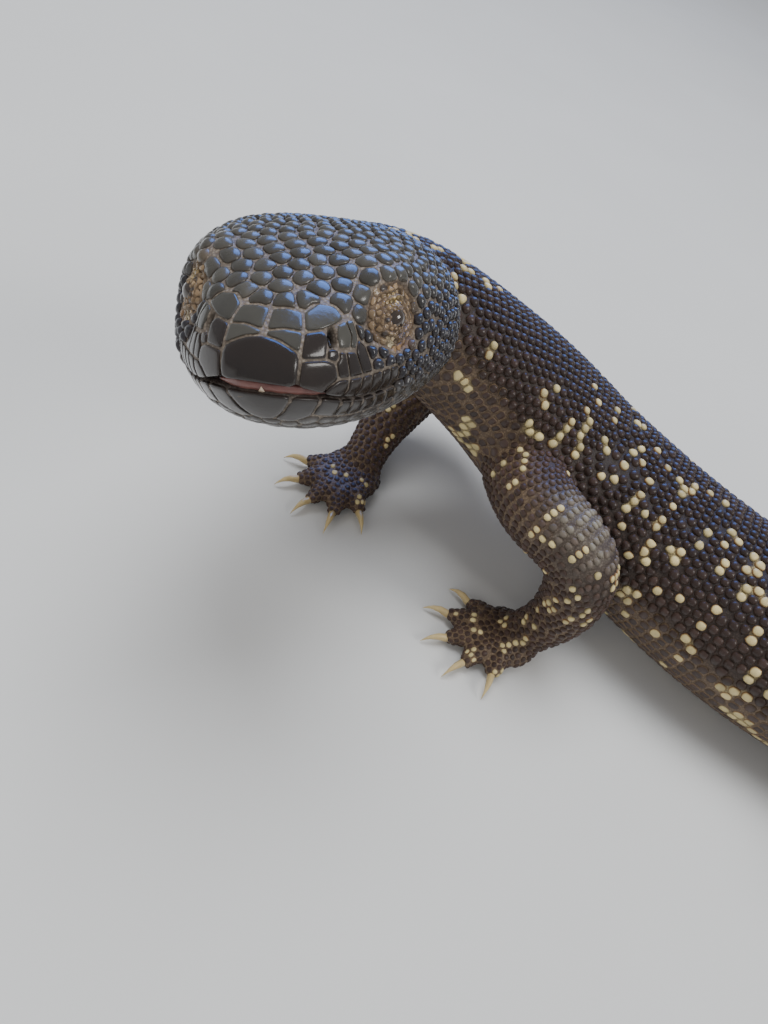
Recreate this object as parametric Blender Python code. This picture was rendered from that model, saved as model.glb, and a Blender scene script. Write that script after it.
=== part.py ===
"""A beaded lizard at life size, standing on four feet with its head raised and turned back to its left.

Metres, +Z up. The floor is z = 0, and the origin is the middle of the model's outline on the floor. At the
shoulders the animal faces -X with its left side towards -Y, and its tail runs off towards +X.
"""

import math

import bmesh
import bpy
import numpy as np
from mathutils import Matrix, Vector

for old in list(bpy.data.objects):
    bpy.data.objects.remove(old)

# Driving dimensions. A station is an arc length along the spine: 0 at the shoulders, growing towards the tail
HEAD_LENGTH = 0.072
NECK_LENGTH = 0.083
TRUNK_LENGTH = 0.235
TAIL_LENGTH = 0.255
VENT = TRUNK_LENGTH
TAIL_END = VENT + TAIL_LENGTH
NECK_END = -0.004
SHOULDERS = Vector((-0.1564, 0.0426, 0.0))

# What stays open between two nodes, face to face
CUT = 0.0003

# The pose, as (station, value) knots: the spine's plan heading and the neck's roll in degrees, and its height
HEADING = [(-0.103, 79), (-0.079, 78), (-0.041, 18), (-0.004, 0), (0.050, -22), (0.140, -22), (0.240, 0),
           (0.330, 30), (0.490, 66)]
AXIS_HEIGHT = [(-0.103, 0.0970), (-0.083, 0.0880), (-0.041, 0.0755), (-0.005, 0.0605), (0.015, 0.0515),
               (0.035, 0.0430), (0.060, 0.0365), (0.090, 0.0322), (0.160, 0.0318), (0.205, 0.0312),
               (0.240, 0.0255), (0.285, 0.0180), (0.340, 0.0140), (0.410, 0.0098), (0.490, 0.0042)]
NECK_ROLL = [(-0.083, -18), (-0.050, -14), (0.010, 0), (0.490, 0)]

# The body's half width, and its reach above and below the axis
HALF_WIDTH = [(-0.083, 0.0235), (-0.055, 0.0215), (-0.015, 0.0240), (0.015, 0.0272), (0.070, 0.0292),
              (0.130, 0.0315), (0.180, 0.0290), (0.215, 0.0235), (0.245, 0.0190), (0.290, 0.0165),
              (0.350, 0.0140), (0.420, 0.0100), (0.470, 0.0060), (0.490, 0.0028)]
REACH_UP = [(-0.083, 0.0190), (-0.040, 0.0190), (0.010, 0.0222), (0.070, 0.0243), (0.130, 0.0248),
            (0.190, 0.0215), (0.240, 0.0180), (0.290, 0.0160), (0.350, 0.0138), (0.420, 0.0100),
            (0.470, 0.0060), (0.490, 0.0028)]
REACH_DOWN = [(-0.083, 0.0195), (-0.040, 0.0190), (0.010, 0.0222), (0.070, 0.0242), (0.130, 0.0255),
              (0.190, 0.0235), (0.240, 0.0190), (0.290, 0.0165), (0.350, 0.0142), (0.420, 0.0102),
              (0.470, 0.0062), (0.490, 0.0034)]
FULLNESS = 2.25

# Beads: height over the hide, share of a cell that a bead's top takes, how much its middle is domed and from
# what height on, and the most that it may stand against its cell's length, for the inside of a bend
BEAD_HEIGHT = 0.0016
BEAD_TOP = 0.60
BEAD_DOME = 1.25
DOMED_FROM = 0.0013
STEEPEST = 0.25
# The belly's scales are flat from this far round from the back
BELLY_FROM = math.radians(118)

# Rows of beads along each length of the body, and beads round it
NECK_CELLS = (7, 9)
TORSO_CELLS = (20, 12)
TAIL_PARTS = [("tail_base", VENT, 0.315, (8, 9)), ("tail_middle", 0.315, 0.400, (8, 7)),
              ("tail_tip", 0.400, TAIL_END, (10, 6))]

# Limbs. Joints are (towards the tail, out to the side, height) from the spine at the limb's station, the first
# one inside the trunk. Radii and cuts (root, elbow or knee, wrist or ankle) go by the share of the way
FORE_RADII = [(0, 0.0130), (0.35, 0.0118), (0.52, 0.0108), (0.72, 0.0098), (0.92, 0.0076), (1, 0.0074)]
HIND_RADII = [(0, 0.0150), (0.35, 0.0140), (0.52, 0.0122), (0.72, 0.0106), (0.92, 0.0082), (1, 0.0080)]
LIMB_CELLS = (3, 6)
STUMP_ROWS = 2
LIMBS = {
    "fore_left": dict(
        station=0.006, side=1, radii=FORE_RADII, cuts=(0.37, 0.58, 0.90), toes_along=(-0.94, 0.34),
        joints=[(0.001, 0.008, 0.049), (0.010, 0.040, 0.0505), (0.028, 0.0502, 0.052), (0.034, 0.0495, 0.024),
                (0.027, 0.048, 0.0062)]),
    "fore_right": dict(
        station=0.006, side=-1, radii=FORE_RADII, cuts=(0.365, 0.57, 0.90), toes_along=(-0.45, -0.89),
        joints=[(0.000, 0.008, 0.046), (-0.004, 0.036, 0.042), (-0.026, 0.036, 0.032), (-0.037, 0.016, 0.017),
                (-0.040, -0.002, 0.0062)]),
    "hind_left": dict(
        station=0.205, side=1, radii=HIND_RADII, cuts=(0.34, 0.55, 0.85), toes_along=(-0.75, 0.66),
        joints=[(0.000, 0.006, 0.032), (-0.005, 0.036, 0.034), (-0.021, 0.054, 0.032), (-0.016, 0.067, 0.017),
                (-0.004, 0.068, 0.0066)]),
    "hind_right": dict(
        station=0.205, side=-1, radii=HIND_RADII, cuts=(0.34, 0.55, 0.84), toes_along=(-0.30, 0.95),
        joints=[(0.000, 0.006, 0.032), (0.004, 0.037, 0.034), (0.014, 0.062, 0.030), (0.032, 0.062, 0.016),
                (0.044, 0.056, 0.0066)]),
}
LIMB_BEAD_HEIGHT = 0.0012
PATH_STEPS, CORNER_REACH = 200, 0.010

# Hands and feet: a pad's half length, half width and half height, then the toes from the inner one outwards
PADS = {"fore": (0.0110, 0.0115, 0.0058), "hind": (0.0122, 0.0122, 0.0060)}
PAD_AHEAD = 0.0038
TOE_LENGTHS = {"fore": 0.0205, "hind": 0.0255}
TOE_SPREADS = [-60, -30, -3, 23, 52]
TOE_SHARES = [0.80, 0.98, 1.04, 1.0, 0.82]
TOE_HEIGHTS = [(0.22, 0.0050), (0.58, 0.0054), (0.82, 0.0038), (1.0, 0.0031)]
TOE_RADIUS = 0.0033
TOE_TAPER = [1.12, 1.08, 1.0, 0.82]
CLAW_LENGTH, CLAW_RADIUS = 0.0075, 0.0016
# A claw's curve: share of its length, lift, and share of its radius
CLAW_CURVE = [(0.0, 0.0, 1.0), (0.3, 0.0006, 0.86), (0.62, 0.0001, 0.58), (0.86, -0.0011, 0.30),
              (1.0, -0.0022, 0.08)]

# Head, in its own frame: x forward from the plane it shares with the neck, y left, z up
HEAD_CELLS = (12, 14)
HEAD_WIDE = [(0, 0.0232), (0.010, 0.0272), (0.024, 0.0290), (0.040, 0.0265), (0.052, 0.0228),
             (0.062, 0.0190), (0.072, 0.0160)]
HEAD_TOP = [(0, 0.0185), (0.015, 0.0205), (0.035, 0.0205), (0.050, 0.0178), (0.062, 0.0148), (0.072, 0.0125)]
HEAD_BOTTOM = [(0, 0.0190), (0.020, 0.0205), (0.040, 0.0185), (0.060, 0.0150), (0.072, 0.0125)]
HEAD_DROP = [(0, 0.0), (0.030, -0.0005), (0.072, -0.0045)]
HEAD_FULLNESS_ABOVE, HEAD_FULLNESS_BELOW, SNOUT_ROUNDING = 2.8, 2.2, 6
SNOUT_FACE = 0.985 * HEAD_LENGTH
# Brow, jaw muscle and eye hollow: place on the left side, height over the plain shape, and spread
HEAD_FORMS = [((0.046, 0.0185, 0.0150), 0.0018, 0.009), ((0.018, 0.0260, 0.0010), 0.0020, 0.014),
              ((0.0495, 0.0225, 0.0070), -0.0012, 0.006)]
HEAD_BEAD_HEIGHT, PLATE_HEIGHT = 0.0014, 0.0004
PLATES_FROM = (0.045, 0.060)
CHEEK_TO, CHIN_FROM = math.radians(100), math.radians(140)
EYE_AT, EYE_RADIUS, EYE_STANDS_OUT = (0.0495, math.radians(68)), 0.0030, 0.0010
LID_RING, LID_RADIUS, LID_HEIGHT = (0.0039, 0.0031), 0.0010, 0.0017
NOSTRIL_AT, NOSTRIL_SIZE = (0.0652, math.radians(60)), (0.0012, 0.0012, 0.0016)
EAR_AT, EAR_SIZE = (0.0080, math.radians(88)), (0.0016, 0.0034, 0.0024)
MOUTH = [(0.085, -0.0068), (0.0720, -0.0072), (0.0670, -0.0090), (0.0610, -0.0102), (0.0550, -0.0096),
         (0.0490, -0.0082), (0.0420, -0.0076), (0.032, -0.0080), (0.026, -0.0094), (0.020, -0.0145),
         (0.014, -0.0270), (0.010, -0.0410)]
MOUTH_GAP = 0.0004
LIP_RADIUS, LIP_SUNK, LIP_OFFSETS, LIP_POINTS = 0.0015, 0.0009, (0.0019, -0.0019), 15
LIP_MIDDLE, LIP_TURN = 0.030, math.radians(68)

# Colours and roughness of the node names that start with each word
FINISHES = {
    "head": ((0.045, 0.043, 0.046), 0.35), "jaw": ((0.060, 0.055, 0.052), 0.35),
    "eye": ((0.012, 0.009, 0.007), 0.08), "neck": ((0.040, 0.032, 0.030), 0.45),
    "torso": ((0.050, 0.034, 0.028), 0.42), "tail": ((0.060, 0.045, 0.032), 0.42),
    "fore": ((0.045, 0.036, 0.036), 0.48), "hind": ((0.045, 0.036, 0.034), 0.48),
    "claw": ((0.52, 0.44, 0.27), 0.35),
}


def through(knots):
    """The smooth function through (place, value) knots, level beyond them."""
    places, values = (np.array(column, float) for column in zip(*knots))
    slopes = np.gradient(values, places)
    slopes[0] = slopes[-1] = 0.0

    def value(place):
        place = min(max(place, places[0]), places[-1])
        k = min(int(np.searchsorted(places, place, side="right")) - 1, len(places) - 2)
        span = places[k + 1] - places[k]
        t = (place - places[k]) / span
        rise = 3 * t**2 - 2 * t**3
        lead = (t**3 - 2 * t**2 + t) * slopes[k] + (t**3 - t**2) * slopes[k + 1]
        return float(values[k] * (1 - rise) + values[k + 1] * rise + lead * span)

    return value


heading, axis_height, neck_roll = through(HEADING), through(AXIS_HEIGHT), through(NECK_ROLL)
half_width, reach_up, reach_down = through(HALF_WIDTH), through(REACH_UP), through(REACH_DOWN)


def tailward(station):
    """The spine's direction towards the tail, falling or rising as its axis height does."""
    step = 0.0005
    fall = (axis_height(station + step) - axis_height(station - step)) / (2 * step)
    level = math.sqrt(max(0.0, 1 - fall**2))
    turn = math.radians(heading(station))
    return Vector((level * math.cos(turn), level * math.sin(turn), fall))


def walked_spine():
    """The axis as (stations, points), walked both ways from the shoulders in short steps."""
    step = 0.001
    start = Vector((SHOULDERS.x, SHOULDERS.y, axis_height(0)))
    points = {0: start}
    for sign, reach in ((-1, NECK_LENGTH), (1, TAIL_END)):
        point = start.copy()
        for k in range(1, round(reach / step) + 2):
            point = point + tailward(sign * (k - 0.5) * step) * (sign * step)
            points[sign * k] = point.copy()
    order = sorted(points)
    return np.array(order) * step, np.array([points[k] for k in order])


STATIONS, AXIS = walked_spine()


def spine_frame(station):
    """(point, tailward, left, up) of the spine at a station. The neck rolls with the head."""
    point = Vector([float(np.interp(station, STATIONS, AXIS[:, k])) for k in range(3)])
    along = tailward(station)
    left = Vector((0, 0, 1)).cross(-along).normalized()
    up = (-along).cross(left)
    turn = Matrix.Rotation(math.radians(neck_roll(station)), 3, along)
    return point, along, turn @ left, turn @ up


def rounded(value, power):
    """A sine or cosine drawn out towards a box, for a section fuller than an ellipse."""
    return math.copysign(abs(value) ** (2 / power), value)


def from_back(angle):
    """How far round from the middle of the back an angle lies, whichever the side."""
    return abs((angle + math.pi) % (2 * math.pi) - math.pi)


def stepped(start, end, rows):
    return [start + (end - start) * k / rows for k in range(rows + 1)]


def as_object(name, mesh):
    """A closed bmesh as an object in the scene, in triangles that face outwards."""
    bmesh.ops.recalc_face_normals(mesh, faces=mesh.faces)
    bmesh.ops.triangulate(mesh, faces=mesh.faces)
    if mesh.calc_volume(signed=True) < 0:
        bmesh.ops.reverse_faces(mesh, faces=mesh.faces)
    data = bpy.data.meshes.new(name)
    mesh.to_mesh(data)
    mesh.free()
    made = bpy.data.objects.new(name, data)
    bpy.context.scene.collection.objects.link(made)
    return made


def beaded_tube(name, surface, places, columns, relief):
    """A closed tube over surface(place, angle): staggered rows of six-sided cells, each raised as a bead."""
    mesh = bmesh.new()
    around, last = 2 * columns, len(places) - 1
    half = math.pi / columns

    def corner(row, k):
        sway = 0.0 if row in (0, last) else 0.08 * (places[row + 1] - places[row - 1])
        return surface(places[row] + (-1) ** (k + row) * sway, k * half)

    def outward(place, angle):
        before, after = max(place - 1e-4, places[0]), min(place + 1e-4, places[-1])
        round_it = surface(place, angle + 0.01) - surface(place, angle - 0.01)
        return round_it.cross(surface(after, angle) - surface(before, angle)).normalized()

    rings = [[mesh.verts.new(corner(row, k)) for k in range(around)] for row in range(last + 1)]
    for row in range(last):
        for cell in range(columns):
            first = 2 * cell + row % 2
            near = [rings[row][(first + k) % around] for k in range(3)]
            far = [rings[row + 1][(first + k) % around] for k in (2, 1, 0)]
            rim = near + far
            place, angle = (places[row] + places[row + 1]) / 2, (first + 1) * half
            height = min(relief(place, angle), STEEPEST * (near[1].co - far[1].co).length)
            if height <= 0:
                mesh.faces.new(rim)
                continue
            middle, normal = surface(place, angle), outward(place, angle)
            top = [mesh.verts.new(middle.lerp(v.co, BEAD_TOP) + normal * height) for v in rim]
            for k in range(6):
                mesh.faces.new((rim[k], rim[(k + 1) % 6], top[(k + 1) % 6], top[k]))
            if height < DOMED_FROM:
                mesh.faces.new(top)
                continue
            dome = mesh.verts.new(middle + normal * height * BEAD_DOME)
            for k in range(6):
                mesh.faces.new((top[k], top[(k + 1) % 6], dome))
    mesh.faces.new(rings[0])
    mesh.faces.new(reversed(rings[-1]))
    return as_object(name, mesh)


def plain_tube(name, points, radii, sides, first_way=None):
    """A closed tube through points with a radius at each. Its first end may face along a given way."""
    mesh = bmesh.new()
    rings, side = [], None
    for k, (point, radius) in enumerate(zip(points, radii)):
        ahead = (points[min(k + 1, len(points) - 1)] - points[max(k - 1, 0)]).normalized()
        if k == 0 and first_way is not None:
            ahead = first_way
        side = ahead.orthogonal() if side is None else side
        side = (side - ahead * side.dot(ahead)).normalized()
        other = ahead.cross(side)
        turns = [2 * math.pi * j / sides for j in range(sides)]
        spots = [point + (side * math.cos(a) + other * math.sin(a)) * radius for a in turns]
        rings.append([mesh.verts.new(spot) for spot in spots])
    for near, far in zip(rings, rings[1:]):
        for j in range(sides):
            mesh.faces.new((near[j], near[(j + 1) % sides], far[(j + 1) % sides], far[j]))
    mesh.faces.new(rings[0])
    mesh.faces.new(reversed(rings[-1]))
    return as_object(name, mesh)


def ring_tube(name, points, radius, sides):
    """A closed tube round a closed loop of points."""
    mesh = bmesh.new()
    middle = sum(points, Vector()) / len(points)
    rings, count = [], len(points)
    for k, point in enumerate(points):
        ahead = (points[(k + 1) % count] - points[k - 1]).normalized()
        out = (point - middle).normalized()
        up = ahead.cross(out).normalized()
        turns = [2 * math.pi * j / sides for j in range(sides)]
        rings.append([mesh.verts.new(point + (out * math.cos(a) + up * math.sin(a)) * radius) for a in turns])
    for k in range(count):
        near, far = rings[k], rings[(k + 1) % count]
        for j in range(sides):
            mesh.faces.new((near[j], near[(j + 1) % sides], far[(j + 1) % sides], far[j]))
    return as_object(name, mesh)


def ellipsoid(name, middle, sizes, turn, segments=10, rings=6):
    """A closed ellipsoid with its axes along the columns of turn."""
    bpy.ops.mesh.primitive_uv_sphere_add(segments=segments, ring_count=rings, radius=1)
    made = bpy.context.object
    made.name = name
    made.data.transform(Matrix.Translation(middle) @ turn.to_4x4() @ Matrix.Diagonal((*sizes, 1)))
    return made


def combine(target, others, operation):
    """One Boolean on all of the others, applied, with the others then removed."""
    group = bpy.data.collections.new("pieces")
    bpy.context.scene.collection.children.link(group)
    for other in others:
        for home in other.users_collection:
            home.objects.unlink(other)
        group.objects.link(other)
    change = target.modifiers.new("combine", "BOOLEAN")
    change.operation, change.operand_type, change.collection = operation, "COLLECTION", group
    change.solver = "MANIFOLD"
    bpy.context.view_layer.update()
    evaluated = target.evaluated_get(bpy.context.evaluated_depsgraph_get())
    target.data = bpy.data.meshes.new_from_object(evaluated)
    target.modifiers.clear()
    for other in list(group.objects):
        bpy.data.objects.remove(other)
    bpy.data.collections.remove(group)
    return target


def surfaces(target):
    """The mesh's closed surfaces, each as a set of face indices, largest first."""
    mesh = bmesh.new()
    mesh.from_mesh(target.data)
    left, found = set(mesh.faces), []
    while left:
        stack, surface = [left.pop()], set()
        while stack:
            face = stack.pop()
            surface.add(face.index)
            for edge in face.edges:
                for other in edge.link_faces:
                    if other in left:
                        left.remove(other)
                        stack.append(other)
        found.append(surface)
    mesh.free()
    return sorted(found, key=len, reverse=True)


def only_faces(target, keep):
    """The object with only the faces in keep."""
    mesh = bmesh.new()
    mesh.from_mesh(target.data)
    gone = [face for face in mesh.faces if face.index not in keep]
    bmesh.ops.delete(mesh, geom=gone, context="FACES")
    mesh.to_mesh(target.data)
    mesh.free()
    return target


def one_body(target):
    """The object with only its largest closed surface."""
    return only_faces(target, surfaces(target)[0])


def on_floor(target):
    """The object with what reaches below the floor taken off, which leaves a small flat."""
    bpy.ops.mesh.primitive_cube_add(size=1, location=(0, 0, -0.5))
    return one_body(combine(target, [bpy.context.object], "DIFFERENCE"))


# Neck, torso and tail

def body_surface(station, angle):
    """A point of the neck, trunk or tail. The angle is 0 along the back and grows towards the left side."""
    point, _, left, up = spine_frame(station)
    reach = reach_up(station) if math.cos(angle) > 0 else reach_down(station)
    aside = half_width(station) * rounded(math.sin(angle), FULLNESS)
    return point + left * aside + up * reach * rounded(math.cos(angle), FULLNESS)


def body_relief(station, angle):
    if from_back(angle) > BELLY_FROM:
        return 0.0
    return BEAD_HEIGHT * min(1.0, half_width(station) / 0.016)


def make_neck():
    rows, columns = NECK_CELLS
    places = stepped(-NECK_LENGTH + CUT, NECK_END, rows)
    return beaded_tube("neck", body_surface, places, columns, body_relief)


def make_torso():
    """The trunk with the stump of each limb."""
    rows, columns = TORSO_CELLS
    places = stepped(NECK_END + CUT, VENT, rows)
    torso = beaded_tube("torso", body_surface, places, columns, body_relief)
    stumps = [limb_segment("stump", limb, 0.02, limb["cuts"][0], STUMP_ROWS) for limb in LIMBS.values()]
    return one_body(combine(torso, stumps, "UNION"))


def make_tail():
    made = []
    for name, start, end, (rows, columns) in TAIL_PARTS:
        places = stepped(start + CUT, end, rows)
        made.append(on_floor(beaded_tube(name, body_surface, places, columns, body_relief)))
    return made


# Limbs

def curve_through(points):
    """The path through points with its corners rounded: frames by share of the way, and the path's length."""
    points = np.array([Vector(p) for p in points])
    reach = np.concatenate([[0], np.cumsum(np.linalg.norm(np.diff(points, axis=0), axis=1))])
    even = np.linspace(0, reach[-1], PATH_STEPS)
    path = np.stack([np.interp(even, reach, points[:, k]) for k in range(3)], axis=1)
    half = round(CORNER_REACH / (even[1] - even[0]))
    window = np.ones(2 * half + 1) / (2 * half + 1)
    for _ in range(2):
        before, after = 2 * path[0] - path[half:0:-1], 2 * path[-1] - path[-2:-half - 2:-1]
        padded = np.concatenate([before, path, after])
        path = np.stack([np.convolve(padded[:, k], window, "valid") for k in range(3)], axis=1)
    reach = np.concatenate([[0], np.cumsum(np.linalg.norm(np.diff(path, axis=0), axis=1))])
    shares, ways = reach / reach[-1], np.gradient(path, axis=0)
    side, sides = Vector((0, 0, 1)), []
    for way in ways:
        ahead = Vector(way).normalized()
        side = (side - ahead * side.dot(ahead)).normalized()
        sides.append(side)

    def at(share, values):
        return Vector([float(np.interp(share, shares, values[:, k])) for k in range(3)])

    def frame(share):
        ahead, side = at(share, ways).normalized(), at(share, np.array(sides))
        side = (side - ahead * side.dot(ahead)).normalized()
        return at(share, path), side, ahead.cross(side)

    return frame, float(reach[-1])


def limb_axis(limb):
    """The limb's frames by share of the way, its length, and the level ways back and out at its root."""
    point, along, _, _ = spine_frame(limb["station"])
    back = Vector((along.x, along.y, 0)).normalized()
    out = Vector((0, 0, 1)).cross(-back) * limb["side"]
    root = Vector((point.x, point.y, 0))
    joints = [root + back * a + out * b + Vector((0, 0, height)) for a, b, height in limb["joints"]]
    frame, length = curve_through(joints)
    return frame, length, back, out


def limb_segment(name, limb, start, end, rows):
    """A beaded length of a limb between two shares of the way."""
    frame, _, _, _ = limb_axis(limb)
    radius = through(limb["radii"])

    def surface(share, angle):
        point, side, other = frame(share)
        return point + (side * math.cos(angle) + other * math.sin(angle)) * radius(share)

    return beaded_tube(name, surface, stepped(start, end, rows), LIMB_CELLS[1], lambda *_: LIMB_BEAD_HEIGHT)


def make_claw(name, toe, turned):
    """A curved claw that starts one cut beyond the toe's flat end and comes down to just above the floor."""
    ahead = (toe[-1] - toe[-2]).normalized()
    root = toe[-1] + ahead * CUT
    points = [root + turned * CLAW_LENGTH * along + Vector((0, 0, lift)) for along, lift, _ in CLAW_CURVE]
    return plain_tube(name, points, [CLAW_RADIUS * size for _, _, size in CLAW_CURVE], 5, ahead)


def make_foot(name, limb):
    """The hand or foot with its toes as one piece, flat where it stands, and the claws, each its own."""
    frame, length, back, out = limb_axis(limb)
    foot = limb_segment(name, limb, limb["cuts"][2] + CUT / length, 1.0, 1)
    ankle, (along, aside) = frame(1)[0], limb["toes_along"]
    ahead = (back * along + out * aside).normalized()
    middle = Vector((ankle.x, ankle.y, 0)) + ahead * PAD_AHEAD
    pad = PADS[name[:4]]
    turn = Matrix.Rotation(math.atan2(ahead.y, ahead.x), 3, "Z")
    pieces, claws = [ellipsoid("pad", middle + Vector((0, 0, pad[2] * 0.8)), pad, turn)], []
    for number, (spread, share) in enumerate(zip(TOE_SPREADS, TOE_SHARES), start=1):
        turned = Matrix.Rotation(math.radians(-limb["side"] * spread), 3, "Z") @ ahead
        reach = TOE_LENGTHS[name[:4]] * share
        toe = [middle + turned * reach * part + Vector((0, 0, height)) for part, height in TOE_HEIGHTS]
        pieces.append(plain_tube("toe", toe, [TOE_RADIUS * size for size in TOE_TAPER], 6))
        claws.append(make_claw(f"{name}_claw_{number}", toe, turned))
    return [on_floor(combine(foot, pieces, "UNION"))] + claws


def make_limb(name, limb):
    """The upper limb, the lower limb and the foot. The torso carries the stump that the first one meets."""
    _, length, _, _ = limb_axis(limb)
    root, elbow, wrist = limb["cuts"]
    rows = LIMB_CELLS[0]
    upper = limb_segment(name + "_upper", limb, root + CUT / length, elbow, rows)
    lower = limb_segment(name + "_lower", limb, elbow + CUT / length, wrist, rows)
    return [upper, lower] + make_foot(name + "_foot", limb)


# Head, jaw and eyes

head_wide, head_top = through(HEAD_WIDE), through(HEAD_TOP)
head_bottom, head_drop = through(HEAD_BOTTOM), through(HEAD_DROP)


def head_matrix():
    """From the head's frame to the world."""
    point, along, left, up = spine_frame(-NECK_LENGTH)
    matrix = Matrix((-along, left, up)).transposed().to_4x4()
    matrix.translation = point
    return matrix


def head_section(x, above):
    """(half width, reach, fullness) of the head's section, over or under its middle."""
    close = math.sqrt(max(0.0, 1 - (x / HEAD_LENGTH) ** SNOUT_ROUNDING))
    if above:
        return head_wide(x) * close, head_top(x) * close, HEAD_FULLNESS_ABOVE
    return head_wide(x) * close, head_bottom(x) * close, HEAD_FULLNESS_BELOW


def head_surface(x, angle):
    """A point of the head in its own frame, with the angle as in body_surface."""
    wide, reach, power = head_section(x, math.cos(angle) > 0)
    y, z = wide * rounded(math.sin(angle), power), reach * rounded(math.cos(angle), power)
    out = Vector((0, y, z)).normalized()
    point = Vector((x, y, z + head_drop(x)))
    for (at, side, height), swell, spread in HEAD_FORMS:
        away = (point - Vector((at, math.copysign(side, y), height))).length / spread
        point = point + out * swell * math.exp(-2 * away**2)
    return point


def head_frame(x, angle):
    """(point, turn) on the head's side: the turn's columns point forward, up over the head and outwards."""
    point = head_surface(x, angle)
    along = head_surface(x + 0.0005, angle) - head_surface(x - 0.0005, angle)
    out = (head_surface(x, angle + 0.02) - head_surface(x, angle - 0.02)).cross(along).normalized()
    out = out if out.dot(Vector((0, point.y, point.z))) > 0 else -out
    ahead = (Vector((1, 0, 0)) - out * out.x).normalized()
    return point, Matrix((ahead, out.cross(ahead), out)).transposed()


def head_relief(x, angle):
    """High beads on the crown and temples, low plates on the snout and lips, and a smooth chin."""
    if from_back(angle) > CHEEK_TO:
        return PLATE_HEIGHT if from_back(angle) < CHIN_FROM else 0.0
    share = (PLATES_FROM[1] - x) / (PLATES_FROM[1] - PLATES_FROM[0])
    return PLATE_HEIGHT + (HEAD_BEAD_HEIGHT - PLATE_HEIGHT) * min(1.0, max(0.0, share))


def in_head(at):
    if not 0 < at.x < HEAD_LENGTH:
        return False
    z = at.z - head_drop(at.x)
    wide, reach, power = head_section(at.x, z > 0)
    return abs(at.y / wide) ** power + abs(z / reach) ** power < 1


def make_lip(offset):
    """A ridge round the front of the head at one distance over the mouth, from its right corner to its left."""
    points, mouth_height = [], through(MOUTH[::-1])
    for turn in stepped(-LIP_TURN, LIP_TURN, LIP_POINTS - 1):
        way, height = Vector((math.cos(turn), math.sin(turn), 0)), MOUTH[1][1] + offset
        for _ in range(4):
            near, far = 0.0, 0.08
            for _ in range(20):
                reach = (near + far) / 2
                inside = in_head(Vector((LIP_MIDDLE, 0, height)) + way * reach)
                near, far = (reach, far) if inside else (near, reach)
            height = mouth_height(LIP_MIDDLE + way.x * near) + offset
        points.append(Vector((LIP_MIDDLE, 0, height)) + way * (near - LIP_SUNK))
    return plain_tube("lip", points, [LIP_RADIUS] * LIP_POINTS, 5)


def make_mouth():
    """The thin cutter that parts the jaw from the head along the line of the mouth."""
    mesh = bmesh.new()
    ends = []
    for y in (-0.06, 0.06):
        above, below = [], []
        for k, (x, z) in enumerate(MOUTH):
            before, after = MOUTH[max(k - 1, 0)], MOUTH[min(k + 1, len(MOUTH) - 1)]
            ahead = Vector((after[0] - before[0], after[1] - before[1])).normalized() * MOUTH_GAP / 2
            above.append(mesh.verts.new((x - ahead.y, y, z + ahead.x)))
            below.append(mesh.verts.new((x + ahead.y, y, z - ahead.x)))
        ends.append(above + below[::-1])
    near, far = ends
    for k in range(len(near)):
        after = (k + 1) % len(near)
        mesh.faces.new((near[k], near[after], far[after], far[k]))
    mesh.faces.new(near)
    mesh.faces.new(far)
    return as_object("mouth", mesh)


def make_head():
    """The head with lids, lips, nostrils and ears, parted along the mouth from the jaw, and the two eyes."""
    rows, columns = HEAD_CELLS
    head = beaded_tube("head", head_surface, stepped(CUT / 2, SNOUT_FACE, rows), columns, head_relief)
    raised, cutters, eyes = [make_lip(offset) for offset in LIP_OFFSETS], [make_mouth()], []
    for side, word in ((1, "left"), (-1, "right")):
        at, turn = head_frame(EYE_AT[0], side * EYE_AT[1])
        middle = at - turn.col[2] * (EYE_RADIUS - EYE_STANDS_OUT)
        turns = [2 * math.pi * k / 12 for k in range(12)]
        rim = [Vector((LID_RING[0] * math.cos(a), LID_RING[1] * math.sin(a), LID_HEIGHT)) for a in turns]
        raised.append(ring_tube("lid", [middle + turn @ point for point in rim], LID_RADIUS, 6))
        eyes.append(ellipsoid(f"eye_{word}", middle, [EYE_RADIUS] * 3, turn))
        cutters.append(ellipsoid("socket", middle, [EYE_RADIUS + CUT] * 3, turn))
        for (x, angle), sizes in ((NOSTRIL_AT, NOSTRIL_SIZE), (EAR_AT, EAR_SIZE)):
            at, turn = head_frame(x, side * angle)
            cutters.append(ellipsoid("pit", at, sizes, turn))
    combine(head, raised, "UNION")
    combine(head, cutters, "DIFFERENCE")
    upper, lower = surfaces(head)[:2]
    jaw = bpy.data.objects.new("jaw", head.data.copy())
    bpy.context.scene.collection.objects.link(jaw)
    only_faces(head, upper)
    only_faces(jaw, lower)
    for piece in [head, jaw] + eyes:
        piece.data.transform(head_matrix())
    return [head, jaw] + eyes


def finish(piece):
    """The piece's own material, with eyes and claws shaded smooth."""
    kind = "claw" if "claw" in piece.name else piece.name.split("_")[0]
    colour, roughness = FINISHES[kind]
    material = bpy.data.materials.new(piece.name)
    material.use_nodes = True
    shader = material.node_tree.nodes["Principled BSDF"]
    shader.inputs["Base Color"].default_value = (*colour, 1)
    shader.inputs["Roughness"].default_value = roughness
    shader.inputs["Metallic"].default_value = 0.0
    piece.data.materials.clear()
    piece.data.materials.append(material)
    if kind in ("eye", "claw"):
        piece.data.shade_smooth()


pieces = make_head() + [make_neck(), make_torso()] + make_tail()
for limb_name, limb in LIMBS.items():
    pieces += make_limb(limb_name, limb)
for piece in pieces:
    finish(piece)
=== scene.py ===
"""The looks of the beaded lizard: hide, beads, plates, eyes and claws, with the floor, light and camera."""

import math

import bmesh
import bpy
import numpy as np
from mathutils import Matrix, Vector
from mathutils.bvhtree import BVHTree
from mathutils.kdtree import KDTree


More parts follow.
